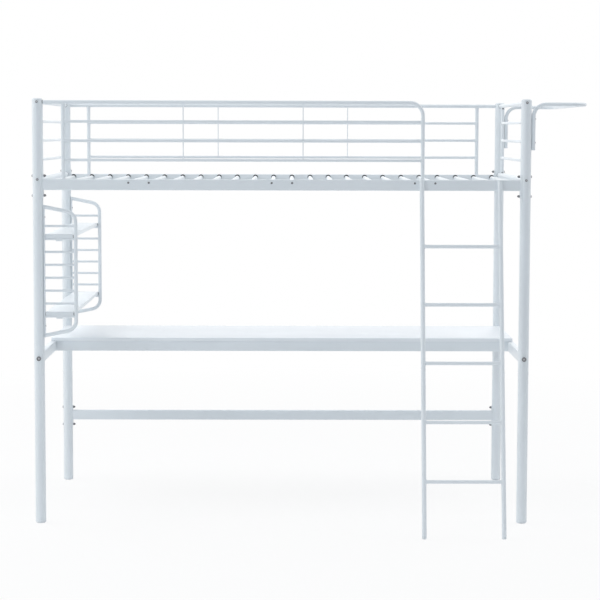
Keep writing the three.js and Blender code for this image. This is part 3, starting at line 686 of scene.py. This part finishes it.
def beam_x(shell, start, end, y, centre, coped=False):
    """Rectangular tube along X. A coped end follows the post whose axis is there."""
    outline = rounded_outline(BEAM_THICKNESS, BEAM_HEIGHT, BEAM_CORNER, CORNER_STEPS)
    rings = []
    for x, inward in ((start, 1), (end, -1)):
        ring = []
        for u, v in outline:
            reach = cope(u) if coped else 0
            ring.append(Vector((x + inward * reach, y + u, centre + v)))
        rings.append(ring)
    shell.loft(rings)


def beam_y(shell, start, end, x, centre):
    """Rectangular tube along Y, coped to the posts at its ends."""
    outline = rounded_outline(BEAM_THICKNESS, BEAM_HEIGHT, BEAM_CORNER, CORNER_STEPS)
    rings = []
    for y, inward in ((start, 1), (end, -1)):
        rings.append([Vector((x + u, y + inward * cope(u), centre + v)) for u, v in outline])
    shell.loft(rings)


def saddle_plate(shell, post_x, post_y, centre, facing):
    """A curved plate with rounded corners round the side of a post that faces along +X or -X."""
    inner = POST_RADIUS + SADDLE_CLEARANCE
    outer = POST_SEAT + SADDLE_WALL
    reach = outer * SADDLE_WRAP
    quarter = [SADDLE_CORNER * (1 - math.cos(a)) for a in spread(0, math.pi / 2, SADDLE_CORNER_POINTS)]
    flat = spread(SADDLE_CORNER, 2 * reach - SADDLE_CORNER, SADDLE_MIDDLE_POINTS)[1:-1]
    places = quarter + flat + [2 * reach - s for s in reversed(quarter)]

    def outline(inset):
        top, bottom = [], []
        for place in places:
            from_edge = min(place, 2 * reach - place)
            corner_cut = 0.0
            if from_edge < SADDLE_CORNER:
                corner_cut = SADDLE_CORNER - math.sqrt(SADDLE_CORNER**2 - (SADDLE_CORNER - from_edge) ** 2)
            half = SADDLE_HEIGHT / 2 - corner_cut - inset
            angle = (place - reach) * (reach - inset) / reach / outer
            top.append((angle, half))
            bottom.append((angle, -half))
        return top + bottom[::-1]

    def ring(radius, inset):
        made = []
        for angle, height in outline(inset):
            x = post_x + facing * radius * math.cos(angle)
            y = post_y + radius * math.sin(angle)
            made.append(Vector((x, y, centre + height)))
        return made

    levels = (
        (inner, 0),
        (outer - SADDLE_EDGE, 0),
        (outer - SADDLE_EDGE * CHAMFER_SHARE, SADDLE_EDGE * CHAMFER_SHARE),
        (outer, SADDLE_EDGE),
    )
    rings = [shell.ring(ring(radius, inset)) for radius, inset in levels]
    for one, other in zip(rings, rings[1:]):
        shell.skin(one, other)
    shell.close_strip(rings[0])
    shell.close_strip(rings[-1])


# The parts of the bed
def make_posts():
    for name, x, y in CORNERS:
        base = Vector((x, y, 0))
        tube = Shell()
        tube.bar(base + Z * FOOT_RISE, base + Z * POST_TOP, POST_RADIUS, POST_SIDES)
        piece("upright_" + name, tube, POWDER_COAT, stands_for=["post_" + name])
        cap = Shell()
        shoulder = [
            (POST_RADIUS - CAP_ROUNDING * (1 - math.cos(a)), CAP_ROUNDING * math.sin(a))
            for a in spread(0, math.pi / 2, CAP_POINTS)
        ]
        plug = POST_RADIUS - CAP_PLUG_INSET
        profile = [(0, -SUNK), (plug, -SUNK), (plug, 0)] + shoulder + [(0, CAP_ROUNDING + CAP_CROWN)]
        cap.turned(profile, base + Z * CAP_SEAT, Z, POST_SIDES)
        piece("top_cap_" + name, cap, WHITE_PLASTIC, stands_for=["cap_" + name])
        foot = Shell()
        profile = foot_profile(
            POST_RADIUS, FOOT_RISE, FOOT_ROUNDING, FOOT_STEP, FOOT_PLUG_INSET, FOOT_POINTS
        )
        foot.turned(profile, base, Z, POST_SIDES)
        piece("foot_plug_" + name, foot, WHITE_PLASTIC, stands_for=["foot_" + name])


def slat_positions():
    last = HALF_LENGTH - SLAT_END_INSET
    return spread(-last, last, SLAT_COUNT)


def post_to_post_beam(name, y, centre, node, flat_left=False):
    """A beam with its saddles, bolts and nuts. The upper left bolt may have a flat head on both sides."""
    steel = Shell()
    beam_x(steel, -HALF_LENGTH, HALF_LENGTH, y, centre, coped=True)
    for post_x, facing in ((-HALF_LENGTH, 1), (HALF_LENGTH, -1)):
        saddle_plate(steel, post_x, y, centre - SADDLE_DROP, facing)
    piece(name, steel, POWDER_COAT, stands_for=[node])
    dark, heads = Shell(), Shell()
    for post_x, facing in ((-HALF_LENGTH, 1), (HALF_LENGTH, -1)):
        for z in bolt_levels(centre):
            seat = Vector((post_x + facing * (POST_SEAT + SADDLE_WALL), y, z))
            if flat_left and facing == 1 and z > centre:
                button_head(heads, seat, X, SMALL_HEAD_RADIUS, SMALL_HEAD_HEIGHT)
            else:
                cap_nut(dark, seat, X * facing)
            button_head(heads, Vector((post_x - facing * POST_RADIUS, y, z)), X * -facing)
    piece(name + "_nuts", dark, DARK_STEEL)
    piece(name + "_bolts", heads, ZINC)


def make_rails():
    post_to_post_beam("rail_front", FRONT, RAIL_CENTRE, "front_rail")
    post_to_post_beam("rail_back", BACK, RAIL_CENTRE, "back_rail", flat_left=True)
    post_to_post_beam("beam_low_back", BACK, LOWER_BEAM_CENTRE, "lower_back_beam")


def make_slat_screws():
    screws = Shell()
    for y, outward in ((FRONT - BEAM_THICKNESS / 2, -Y), (BACK + BEAM_THICKNESS / 2, Y)):
        for x in SLAT_SCREW_AT:
            for side in (-1, 1):
                seat = Vector((side * x, y, SLAT_SCREW_LEVEL))
                button_head(screws, seat, outward, SLAT_SCREW_RADIUS, SLAT_SCREW_HEIGHT)
    piece("slat_screws", screws, DARK_STEEL)


def make_slats():
    shade_rings = Shell()
    for i, x in enumerate(slat_positions()):
        tube = Shell()
        tube.bar(
            Vector((x, FRONT + BEAM_THICKNESS / 2 - SUNK, SLAT_LEVEL)),
            Vector((x, BACK - BEAM_THICKNESS / 2 + SUNK, SLAT_LEVEL)),
            SLAT_RADIUS,
        )
        number = str(i + 1).zfill(2)
        piece("slat_tube_" + number, tube, POWDER_COAT, stands_for=["slat_" + number])
        # A near-black ring at each end of the slat, set above its axis: painted shade of the gap at the
        # rail
        for y, inward in ((FRONT + BEAM_THICKNESS / 2, Y), (BACK - BEAM_THICKNESS / 2, -Y)):
            shade_rings.turned(SLAT_SHADE_RING_PROFILE, Vector((x, y, SLAT_LEVEL + SLAT_SHADE_RING_LIFT)), inward)
    piece("slat_end_painted_shade", shade_rings, PAINTED_GAP_SHADE)


def guard_rows():
    return spread(GUARD_TOP, RAIL_TOP, GUARD_ROD_COUNT + 2)[1:-1]


def joint_shade_ring(shell, post, along, radius):
    """A near-black ring where a tube's end sits against a post: painted shade of the gap there."""
    weld(shell, post, along, radius, POST_RADIUS, Z, JOINT_SHADE_PROFILE)


def guard_fill(shell, y, left, right):
    """Rods and flat stays between a guard's uprights, with their welds."""
    for z in guard_rows():
        shell.bar(Vector((left, y, z)), Vector((right, y, z)), GUARD_ROD_RADIUS, ROD_SIDES)
        weld(shell, Vector((left, y, z)), X, GUARD_ROD_RADIUS, GUARD_TUBE_RADIUS, Z)
        weld(shell, Vector((right, y, z)), -X, GUARD_ROD_RADIUS, GUARD_TUBE_RADIUS, Z)
    half = STAY_THICKNESS / 2
    for share in (1 / 3, 2 / 3):
        x = left + share * (right - left)
        low = (x - half, y - STAY_DEPTH / 2, guard_rows()[-1])
        shell.box(low, (x + half, y + STAY_DEPTH / 2, GUARD_TOP), STAY_EDGE)


def make_front_guard():
    steel = Shell()
    foot = RAIL_TOP - SUNK
    corners = [
        Vector((-HALF_LENGTH + POST_RADIUS - SUNK, FRONT, GUARD_TOP)),
        Vector((LADDER_GAP_X, FRONT, GUARD_TOP)),
        Vector((LADDER_GAP_X, FRONT, foot)),
    ]
    steel.tube(bent(corners, [GUARD_BEND_RADIUS]), GUARD_TUBE_RADIUS)
    left = -GUARD_UPRIGHT_X
    steel.bar(Vector((left, FRONT, foot)), Vector((left, FRONT, GUARD_TOP)), GUARD_TUBE_RADIUS)
    weld(steel, Vector((left, FRONT, GUARD_TOP)), -Z, GUARD_TUBE_RADIUS, GUARD_TUBE_RADIUS, X)
    for x in (left, LADDER_GAP_X):
        flat_weld(steel, Vector((x, FRONT, RAIL_TOP)), Z, GUARD_TUBE_RADIUS)
    guard_fill(steel, FRONT, left, LADDER_GAP_X)
    piece("guard_front", steel, POWDER_COAT, stands_for=["front_guard"])
    # A thin near-black disc where the top tube meets the left post: painted shade of the gap at that joint
    shade_disc = Shell()
    end = Vector((-HALF_LENGTH + POST_RADIUS, FRONT, GUARD_TOP))
    shade_disc.bar(end - X * SUNK, end + X * JOINT_SHADE_DISC_LENGTH, JOINT_SHADE_DISC_RADIUS)
    piece("guard_front_painted_joint_shade", shade_disc, PAINTED_GAP_SHADE)


def make_back_guard():
    steel = Shell()
    end = HALF_LENGTH - POST_RADIUS + SUNK
    steel.bar(Vector((-end, BACK, GUARD_TOP)), Vector((end, BACK, GUARD_TOP)), GUARD_TUBE_RADIUS)
    for side in (-1, 1):
        x = side * GUARD_UPRIGHT_X
        steel.bar(Vector((x, BACK, RAIL_TOP - SUNK)), Vector((x, BACK, GUARD_TOP)), GUARD_TUBE_RADIUS)
        weld(steel, Vector((x, BACK, GUARD_TOP)), -Z, GUARD_TUBE_RADIUS, GUARD_TUBE_RADIUS, X)
        flat_weld(steel, Vector((x, BACK, RAIL_TOP)), Z, GUARD_TUBE_RADIUS)
    guard_fill(steel, BACK, -GUARD_UPRIGHT_X, GUARD_UPRIGHT_X)
    piece("guard_back", steel, POWDER_COAT, stands_for=["back_guard"])


def make_end_frame(name, x, node):
    steel, rings = Shell(), Shell()
    inside = POST_RADIUS - SUNK
    for z, radius in ((GUARD_TOP, GUARD_TUBE_RADIUS), (END_LOW_LEVEL, END_LOW_RADIUS)):
        steel.bar(Vector((x, FRONT + inside, z)), Vector((x, BACK - inside, z)), radius)
        # Near-black rings at both ends of the tube: painted shade where it meets the posts
        joint_shade_ring(rings, Vector((x, FRONT, z)), Y, radius)
        joint_shade_ring(rings, Vector((x, BACK, z)), -Y, radius)
    near, far = FRONT + END_UPRIGHT_INSET, BACK - END_UPRIGHT_INSET
    for y in (near, far):
        steel.bar(Vector((x, y, END_LOW_LEVEL)), Vector((x, y, GUARD_TOP)), GUARD_TUBE_RADIUS)
        weld(steel, Vector((x, y, GUARD_TOP)), -Z, GUARD_TUBE_RADIUS, GUARD_TUBE_RADIUS, Y)
        weld(steel, Vector((x, y, END_LOW_LEVEL)), Z, GUARD_TUBE_RADIUS, END_LOW_RADIUS, Y)
    for z in guard_rows():
        steel.bar(Vector((x, near, z)), Vector((x, far, z)), GUARD_ROD_RADIUS, ROD_SIDES)
        weld(steel, Vector((x, near, z)), Y, GUARD_ROD_RADIUS, GUARD_TUBE_RADIUS, Z)
        weld(steel, Vector((x, far, z)), -Y, GUARD_ROD_RADIUS, GUARD_TUBE_RADIUS, Z)
    dark, highlight_discs = Shell(), Shell()
    for z in END_BOLT_LEVELS:
        for y, outward in ((FRONT - POST_RADIUS, -Y), (BACK + POST_RADIUS, Y)):
            button_head(dark, Vector((x, y, z)), outward, END_BOLT_RADIUS, BOLT_HEAD_HEIGHT)
            floor = Vector((x, y, z)) + outward * (BOLT_HEAD_HEIGHT - SOCKET_DEPTH)
            # A lighter disc at the socket's bottom: painted highlight in the head's middle
            painted_highlight_disc(highlight_discs, floor, outward, SOCKET_RADIUS)
    for z in END_DOT_LEVELS:
        button_head(dark, Vector((x, far - GUARD_TUBE_RADIUS, z)), -Y, END_DOT_RADIUS, SMALL_HEAD_HEIGHT)
    piece(name, steel, POWDER_COAT, stands_for=[node])
    piece(name + "_bolts", dark, DARK_STEEL)
    piece(name + "_painted_highlights", highlight_discs, ZINC)
    piece(name + "_painted_joint_shade", rings, PAINTED_GAP_SHADE)


def make_desk_beams():
    for side, name in ((-1, "left"), (1, "right")):
        steel = Shell()
        x = side * HALF_LENGTH
        beam_y(steel, FRONT, BACK, x, DESK_BEAM_CENTRE)
        piece("desk_rail_" + name, steel, POWDER_COAT, stands_for=["desk_side_beam_" + name])
    end = HALF_LENGTH - BEAM_THICKNESS / 2 + SUNK / 2
    for y, name in (
        (DESKTOP_FRONT_Y + DESK_FRONT_OVERHANG + BEAM_THICKNESS / 2, "front"),
        (DESKTOP_BACK_Y - DESK_REAR_OVERHANG - BEAM_THICKNESS / 2, "back"),
    ):
        steel = Shell()
        beam_x(steel, -end, end, y, DESK_BEAM_CENTRE)
        piece("desk_rail_" + name, steel, POWDER_COAT, stands_for=["desk_" + name + "_beam"])


def make_desktop():
    board = Shell()
    length = 2 * (HALF_LENGTH + DESKTOP_SIDE_REACH)
    outline = rounded_outline(length, DESKTOP_DEPTH, DESKTOP_CORNER, CORNER_STEPS)
    centre = Vector((0, (DESKTOP_FRONT_Y + DESKTOP_BACK_Y) / 2, DESK_BEAM_TOP + FIT_GAP))
    edge = DESKTOP_EDGE
    rings = []
    for z, inset in (
        (0, edge),
        (edge * CHAMFER_SHARE, edge * CHAMFER_SHARE),
        (edge, 0),
        (DESKTOP_THICKNESS - edge, 0),
        (DESKTOP_THICKNESS - edge * CHAMFER_SHARE, edge * CHAMFER_SHARE),
        (DESKTOP_THICKNESS, edge),
    ):
        rings.append([centre + Vector((shrink(u, inset), shrink(v, inset), z)) for u, v in outline])
    board.loft(rings)
    piece("desk_board", board, MELAMINE, stands_for=["desktop"])


def make_desk_bolts():
    radius, height = DESK_BOLT_RADIUS, DESK_BOLT_HEIGHT
    floor = height - DESK_BOLT_SOCKET_DEPTH
    profile = [
        (0, floor),
        (DESK_BOLT_SOCKET_RADIUS, floor, "hexagon"),
        (DESK_BOLT_SOCKET_RADIUS, height - DESK_BOLT_MOUTH, "hexagon"),
        (DESK_BOLT_SOCKET_RADIUS + DESK_BOLT_EDGE, height),
        (radius - DESK_BOLT_EDGE, height),
        (radius - DESK_BOLT_EDGE_STEP, height - DESK_BOLT_EDGE_STEP),
        (radius, height - DESK_BOLT_EDGE),
        (radius, -SUNK),
        (0, -SUNK),
    ]
    for name, x, y in CORNERS:
        outward = -1 if y == FRONT else 1
        bolt = Shell()
        seat = Vector((x, y + outward * POST_SEAT, DESK_BEAM_CENTRE))
        bolt.turned(profile, seat, Y * outward, DESK_BOLT_SIDES)
        piece("desk_screw_" + name, bolt, DARK_STEEL, stands_for=["desk_bolt_" + name])
        # A lighter disc at the socket's bottom: painted highlight in the head's middle
        bottom = Shell()
        painted_highlight_disc(bottom, seat + Y * outward * floor, Y * outward, DESK_BOLT_SOCKET_RADIUS)
        piece("desk_screw_" + name + "_painted_highlight", bottom, ZINC)


def rack_rods():
    return spread(RACK_HIGH - RACK_ROD_MARGIN, RACK_LOW + RACK_ROD_MARGIN, RACK_ROD_COUNT)


def make_rack_frame(side, y):
    name = "rack_side_" + side
    steel = Shell()
    corners = [
        Vector((RACK_STRIP_X, y, RACK_HIGH)),
        Vector((RACK_OUTER_X, y, RACK_HIGH - RACK_TAPER)),
        Vector((RACK_OUTER_X, y, RACK_LOW + RACK_TAPER)),
        Vector((RACK_STRIP_X, y, RACK_LOW)),
    ]
    steel.tube(bent(corners, [RACK_BEND_RADIUS, RACK_BEND_RADIUS]), RACK_TUBE_RADIUS)
    half = Vector((RACK_STRIP_THICKNESS / 2, RACK_STRIP_WIDTH / 2, RACK_TUBE_RADIUS))
    low = Vector((RACK_STRIP_X, y, RACK_LOW)) - half
    steel.box(low, Vector((RACK_STRIP_X, y, RACK_HIGH)) + half, RACK_STRIP_EDGE)
    for z in rack_rods():
        inner = Vector((RACK_STRIP_X + RACK_STRIP_THICKNESS / 2, y, z))
        outer = Vector((RACK_OUTER_X, y, z))
        steel.bar(Vector((RACK_STRIP_X, y, z)), outer, RACK_ROD_RADIUS, ROD_SIDES)
        weld(steel, outer, -X, RACK_ROD_RADIUS, RACK_TUBE_RADIUS, Z, RACK_WELD_PROFILE)
        flat_weld(steel, inner, X, RACK_ROD_RADIUS, RACK_WELD_PROFILE)
    piece(name, steel, POWDER_COAT, stands_for=["rack_frame_" + side])
    heads = Shell()
    for z in RACK_BOLT_LEVELS:
        seat = Vector((RACK_STRIP_X + RACK_STRIP_THICKNESS / 2, y, z))
        button_head(heads, seat, X, SMALL_HEAD_RADIUS, SMALL_HEAD_HEIGHT)
    piece(name + "_bolts", heads, ZINC)


def folded_strip(shell, outline, wall, start, end):
    """Sheet metal of an even wall, folded along a list of (y, z) points, from one x to another."""
    inner = []
    for i, (y, z) in enumerate(outline):
        before = Vector(outline[max(i - 1, 0)])
        after = Vector(outline[min(i + 1, len(outline) - 1)])
        run = (after - before).normalized()
        inner.append((y + run[1] * wall, z - run[0] * wall))
    loop = outline + inner[::-1]
    one, other = [shell.ring([(x, y, z) for y, z in loop]) for x in (start, end)]
    shell.skin(one, other)
    shell.close_strip(one)
    shell.close_strip(other)


def fold(y, z, start_angle, end_angle, radius):
    """Points (y, z) round one fold of the sheet."""
    angles = spread(start_angle, end_angle, FOLD_STEPS + 1)
    return [(y + radius * math.cos(a), z + radius * math.sin(a)) for a in angles]


def make_shelf(name, rod_number, body):
    """A sheet panel with four lips and a hook in the middle of each end lip. Near-black blocks at the
    right-hand ends of the end lips are painted shade of the gaps there.
    """
    rod = rack_rods()[rod_number - 1]
    top = rod + RACK_ROD_RADIUS + SHELF_RISE
    lip_foot = rod + RACK_ROD_RADIUS + FIT_GAP
    left = RACK_STRIP_X + RACK_STRIP_THICKNESS / 2 + SHELF_SIDE_GAP
    right = RACK_OUTER_X - RACK_TUBE_RADIUS - SHELF_SIDE_GAP
    outside = RACK_ROD_RADIUS + FIT_GAP + SHELF_WALL
    front, back = FRONT - outside, BACK + outside
    radius = SHELF_FOLD
    sheet = Shell()
    end_foot = rod + RACK_ROD_RADIUS - SHELF_END_LAP
    outline = [(front, end_foot)] + fold(front + radius, top - radius, math.pi, math.pi / 2, radius)
    outline += fold(back - radius, top - radius, math.pi / 2, 0, radius) + [(back, end_foot)]
    folded_strip(sheet, outline, SHELF_WALL, left + SHELF_LIP_COVER, right - SHELF_LIP_COVER)
    for x in (left, right - SHELF_WALL):
        low = (x, front + SHELF_FACE_INSET, lip_foot)
        high = (x + SHELF_WALL, back - SHELF_FACE_INSET, top - SHELF_FACE_INSET / 2)
        sheet.box(low, high, SHELF_EDGE)
    corner_shades = Shell()
    hook_left = (left + right - SHELF_HOOK_WIDTH) / 2
    hook_foot = rod - RACK_ROD_RADIUS - SHELF_HOOK_DROP
    for y in (front, back - SHELF_WALL):
        low = (hook_left, y + SHELF_FACE_INSET, hook_foot)
        high = (hook_left + SHELF_HOOK_WIDTH, y + SHELF_WALL - SHELF_FACE_INSET, lip_foot + SHELF_FOLD)
        sheet.box(low, high, SHELF_EDGE)
        # A near-black block at the lip's right-hand end: painted shade of the gap by the upright
        low = (right - SHELF_SHADE_SUNK, y, lip_foot)
        high = (right + SHELF_SHADE_LENGTH, y + SHELF_SHADE_DEPTH, top - SHELF_FOLD)
        corner_shades.box(low, high, SHELF_SHADE_EDGE)
    piece(name, sheet, POWDER_COAT, body, [body])
    piece(name + "_painted_corner_shade", corner_shades, PAINTED_GAP_SHADE, body)


def make_hanger():
    steel = Shell()
    far = HANGER_LEG_X + HANGER_REACH - FACET_INSET
    bottom = HANGER_LEVEL - HANGER_LEG_LENGTH
    corners = [
        Vector((HANGER_LEG_X, FRONT, bottom)),
        Vector((HANGER_LEG_X, FRONT, HANGER_LEVEL)),
        Vector((far, FRONT, HANGER_LEVEL)),
        Vector((far, BACK, HANGER_LEVEL)),
        Vector((HANGER_LEG_X, BACK, HANGER_LEVEL)),
        Vector((HANGER_LEG_X, BACK, bottom)),
    ]
    bends = [HANGER_LEG_BEND, HANGER_LOOP_BEND, HANGER_LOOP_BEND, HANGER_LEG_BEND]
    steel.tube(bent(corners, bends), HANGER_RADIUS)
    piece("hanging_rail", steel, POWDER_COAT, stands_for=["hanger_rack"])
    heads = Shell()
    for y in (FRONT, BACK):
        for z in HANGER_BOLT_LEVELS:
            seat = Vector((HANGER_LEG_X + HANGER_RADIUS - HANGER_BOLT_SUNK, y, z))
            button_head(heads, seat, X, SMALL_HEAD_RADIUS, SMALL_HEAD_HEIGHT)
    piece("hanging_rail_bolts", heads, ZINC)


LADDER_UP = Vector((0, math.sin(LADDER_LEAN), math.cos(LADDER_LEAN)))


def ladder_point(x, along):
    """A point on an upright's axis, at a distance along it from the floor."""
    rest_y = LADDER_TOP_Y - LADDER_RADIUS / math.cos(LADDER_LEAN)
    return Vector((x, rest_y - LADDER_REST * math.tan(LADDER_LEAN), 0)) + LADDER_UP * along


def make_ladder():
    steel = Shell()
    left, right = LADDER_LEFT_X, LADDER_LEFT_X + LADDER_WIDTH
    for x in (left, right):
        foot, top = ladder_point(x, LADDER_FOOT_RISE), ladder_point(x, LADDER_LENGTH)
        steel.bar(foot, top, LADDER_RADIUS, LADDER_SIDES)
    for along in spread(RUNG_FIRST, LADDER_LENGTH - RUNG_LAST, RUNG_COUNT):
        steel.bar(ladder_point(left, along), ladder_point(right, along), RUNG_RADIUS)
        weld(steel, ladder_point(left, along), X, RUNG_RADIUS, LADDER_RADIUS, LADDER_UP)
        weld(steel, ladder_point(right, along), -X, RUNG_RADIUS, LADDER_RADIUS, LADDER_UP)
    piece("ladder_tubes", steel, POWDER_COAT, stands_for=["ladder"])
    profile = foot_profile(
        LADDER_RADIUS - FACET_INSET,
        LADDER_FOOT_RISE,
        LADDER_FOOT_ROUNDING,
        LADDER_FOOT_STEP,
        LADDER_FOOT_PLUG_INSET,
        LADDER_FOOT_POINTS,
    )
    for name, x in (("left", left), ("right", right)):
        foot = Shell()
        foot.turned(profile, ladder_point(x, 0), LADDER_UP, LADDER_SIDES)
        for at in foot.points:
            at.z = max(at.z, 0)
        piece("ladder_plug_" + name, foot, WHITE_PLASTIC, stands_for=["ladder_foot_" + name])


make_posts()
make_rails()
make_slat_screws()
make_slats()
make_front_guard()
make_back_guard()
make_end_frame("end_guard_left", -HALF_LENGTH, "end_frame_left")
make_end_frame("end_guard_right", HALF_LENGTH, "end_frame_right")
make_desk_beams()
make_desktop()
make_desk_bolts()
make_rack_frame("front", FRONT)
make_rack_frame("back", BACK)
make_shelf("shelf_panel_upper", UPPER_SHELF_ROD, "shelf_upper")
make_shelf("shelf_panel_lower", LOWER_SHELF_ROD, "shelf_lower")
make_hanger()
make_ladder()


# Floor, light and camera
WHITE = (1, 1, 1, 1)
FLOOR_COLOUR = (0.95, 0.95, 0.95, 1)
FLOOR_REACH = 30.0
FLOOR_SHADE_SHARE = 0.15
FLOOR_FADE = (1.5, 5.0)  # distance from the bed's middle over which the floor turns white to the camera
WORLD_COLOUR = (0.89, 0.94, 1.0)
WORLD_LEVEL = 0.44

# Softboxes: name, place and size in metres, energy, colour
LAMPS = (
    ("softbox_left", (-6.5, -0.6, 2.4), 4.0, 44, (1.0, 0.88, 0.76)),
    ("softbox_right", (13.0, -1.0, 2.6), 7.0, 45, (0.92, 0.97, 1.0)),
    ("softbox_front_left", (-4.5, -6.5, 2.6), 3.0, 91, (0.84, 0.93, 1.0)),
    ("softbox_top_left", (-3.5, 0.6, 5.0), 4.0, 114, (1.0, 1.0, 1.0)),
    ("softbox_top_right", (3.5, 0.6, 5.0), 4.0, 109, (1.0, 1.0, 1.0)),
    ("softbox_back", (0.0, 8.0, 3.0), 6.0, 60, (1.0, 1.0, 1.0)),
)
LAMP_TARGET = (0, 0, 0.9)


def combined(tree, operation, one, other):
    return add_node(tree, "ShaderNodeMath", {0: one, 1: other}, operation=operation).outputs[0]


def seen_directly(tree):
    """1 for rays from the camera, in mirrors and through glass, else 0."""
    rays = add_node(tree, "ShaderNodeLightPath").outputs
    first = combined(tree, "MAXIMUM", rays["Is Camera Ray"], rays["Is Glossy Ray"])
    return combined(tree, "MAXIMUM", first, rays["Is Transmission Ray"])


def mixed_shader(tree, share, first, second):
    inputs = {0: share, 1: first.outputs[0], 2: second.outputs[0]}
    return add_node(tree, "ShaderNodeMixShader", inputs).outputs[0]


def make_floor():
    mesh = bpy.data.meshes.new("floor")
    reach = FLOOR_REACH
    corners = [(-reach, -reach, 0), (reach, -reach, 0), (reach, reach, 0), (-reach, reach, 0)]
    mesh.from_pydata(corners, [], [(0, 1, 2, 3)])
    floor = bpy.data.objects.new("floor", mesh)
    bpy.context.scene.collection.objects.link(floor)
    made, tree, shader = new_material("pale_floor")
    tree.nodes.remove(shader)
    diffuse = add_node(tree, "ShaderNodeBsdfDiffuse", {"Color": FLOOR_COLOUR})
    white = add_node(tree, "ShaderNodeEmission", {"Color": WHITE, "Strength": 1.0})
    place = add_node(tree, "ShaderNodeNewGeometry").outputs["Position"]
    distance = add_node(tree, "ShaderNodeVectorMath", {0: place}, operation="LENGTH").outputs["Value"]
    whiteness = ranged(tree, distance, *FLOOR_FADE, 1 - FLOOR_SHADE_SHARE, 1)
    share = combined(tree, "MULTIPLY", seen_directly(tree), whiteness)
    mixed = mixed_shader(tree, share, diffuse, white)
    tree.links.new(mixed, tree.nodes["Material Output"].inputs["Surface"])
    mesh.materials.append(made)


def make_world():
    world = bpy.data.worlds.new("studio")
    bpy.context.scene.world = world
    world.use_nodes = True
    tree = world.node_tree
    tree.nodes.clear()
    soft = add_node(tree, "ShaderNodeBackground", {"Color": (*WORLD_COLOUR, 1), "Strength": WORLD_LEVEL})
    white = add_node(tree, "ShaderNodeBackground", {"Color": WHITE, "Strength": 1.0})
    mixed = mixed_shader(tree, seen_directly(tree), soft, white)
    output = add_node(tree, "ShaderNodeOutputWorld")
    tree.links.new(mixed, output.inputs["Surface"])


def make_lamps():
    for name, at, size, energy, colour in LAMPS:
        lamp = bpy.data.lights.new(name, "AREA")
        lamp.shape = "SQUARE"
        lamp.size = size
        lamp.energy = energy
        lamp.color = colour
        holder = bpy.data.objects.new(name, lamp)
        holder.location = at
        holder.visible_camera = False
        holder.rotation_euler = (Vector(LAMP_TARGET) - Vector(at)).to_track_quat("-Z", "Y").to_euler()
        bpy.context.scene.collection.objects.link(holder)


def make_camera():
    camera = bpy.data.cameras.new("photo_camera")
    camera.sensor_width = SENSOR_WIDTH
    camera.lens = CAMERA_FOCAL_SHARE * SENSOR_WIDTH
    camera.clip_end = CAMERA_RANGE
    holder = bpy.data.objects.new("photo_camera", camera)
    pitch, yaw, roll = CAMERA_PITCH, CAMERA_YAW, CAMERA_ROLL
    ahead = Vector((math.sin(yaw) * math.cos(pitch), math.cos(yaw) * math.cos(pitch), -math.sin(pitch)))
    level_right = Vector((math.cos(yaw), -math.sin(yaw), 0))
    level_down = -level_right.cross(ahead)
    right = math.cos(roll) * level_right + math.sin(roll) * level_down
    down = -math.sin(roll) * level_right + math.cos(roll) * level_down
    turn = Matrix((right, -down, -ahead)).transposed().to_4x4()
    holder.matrix_world = Matrix.Translation(in_metres(CAMERA_AT)) @ turn
    bpy.context.scene.collection.objects.link(holder)
    bpy.context.scene.camera = holder


make_floor()
make_world()
make_lamps()
make_camera()
bpy.context.scene.view_settings.view_transform = "Standard"

bpy.context.view_layer.update()
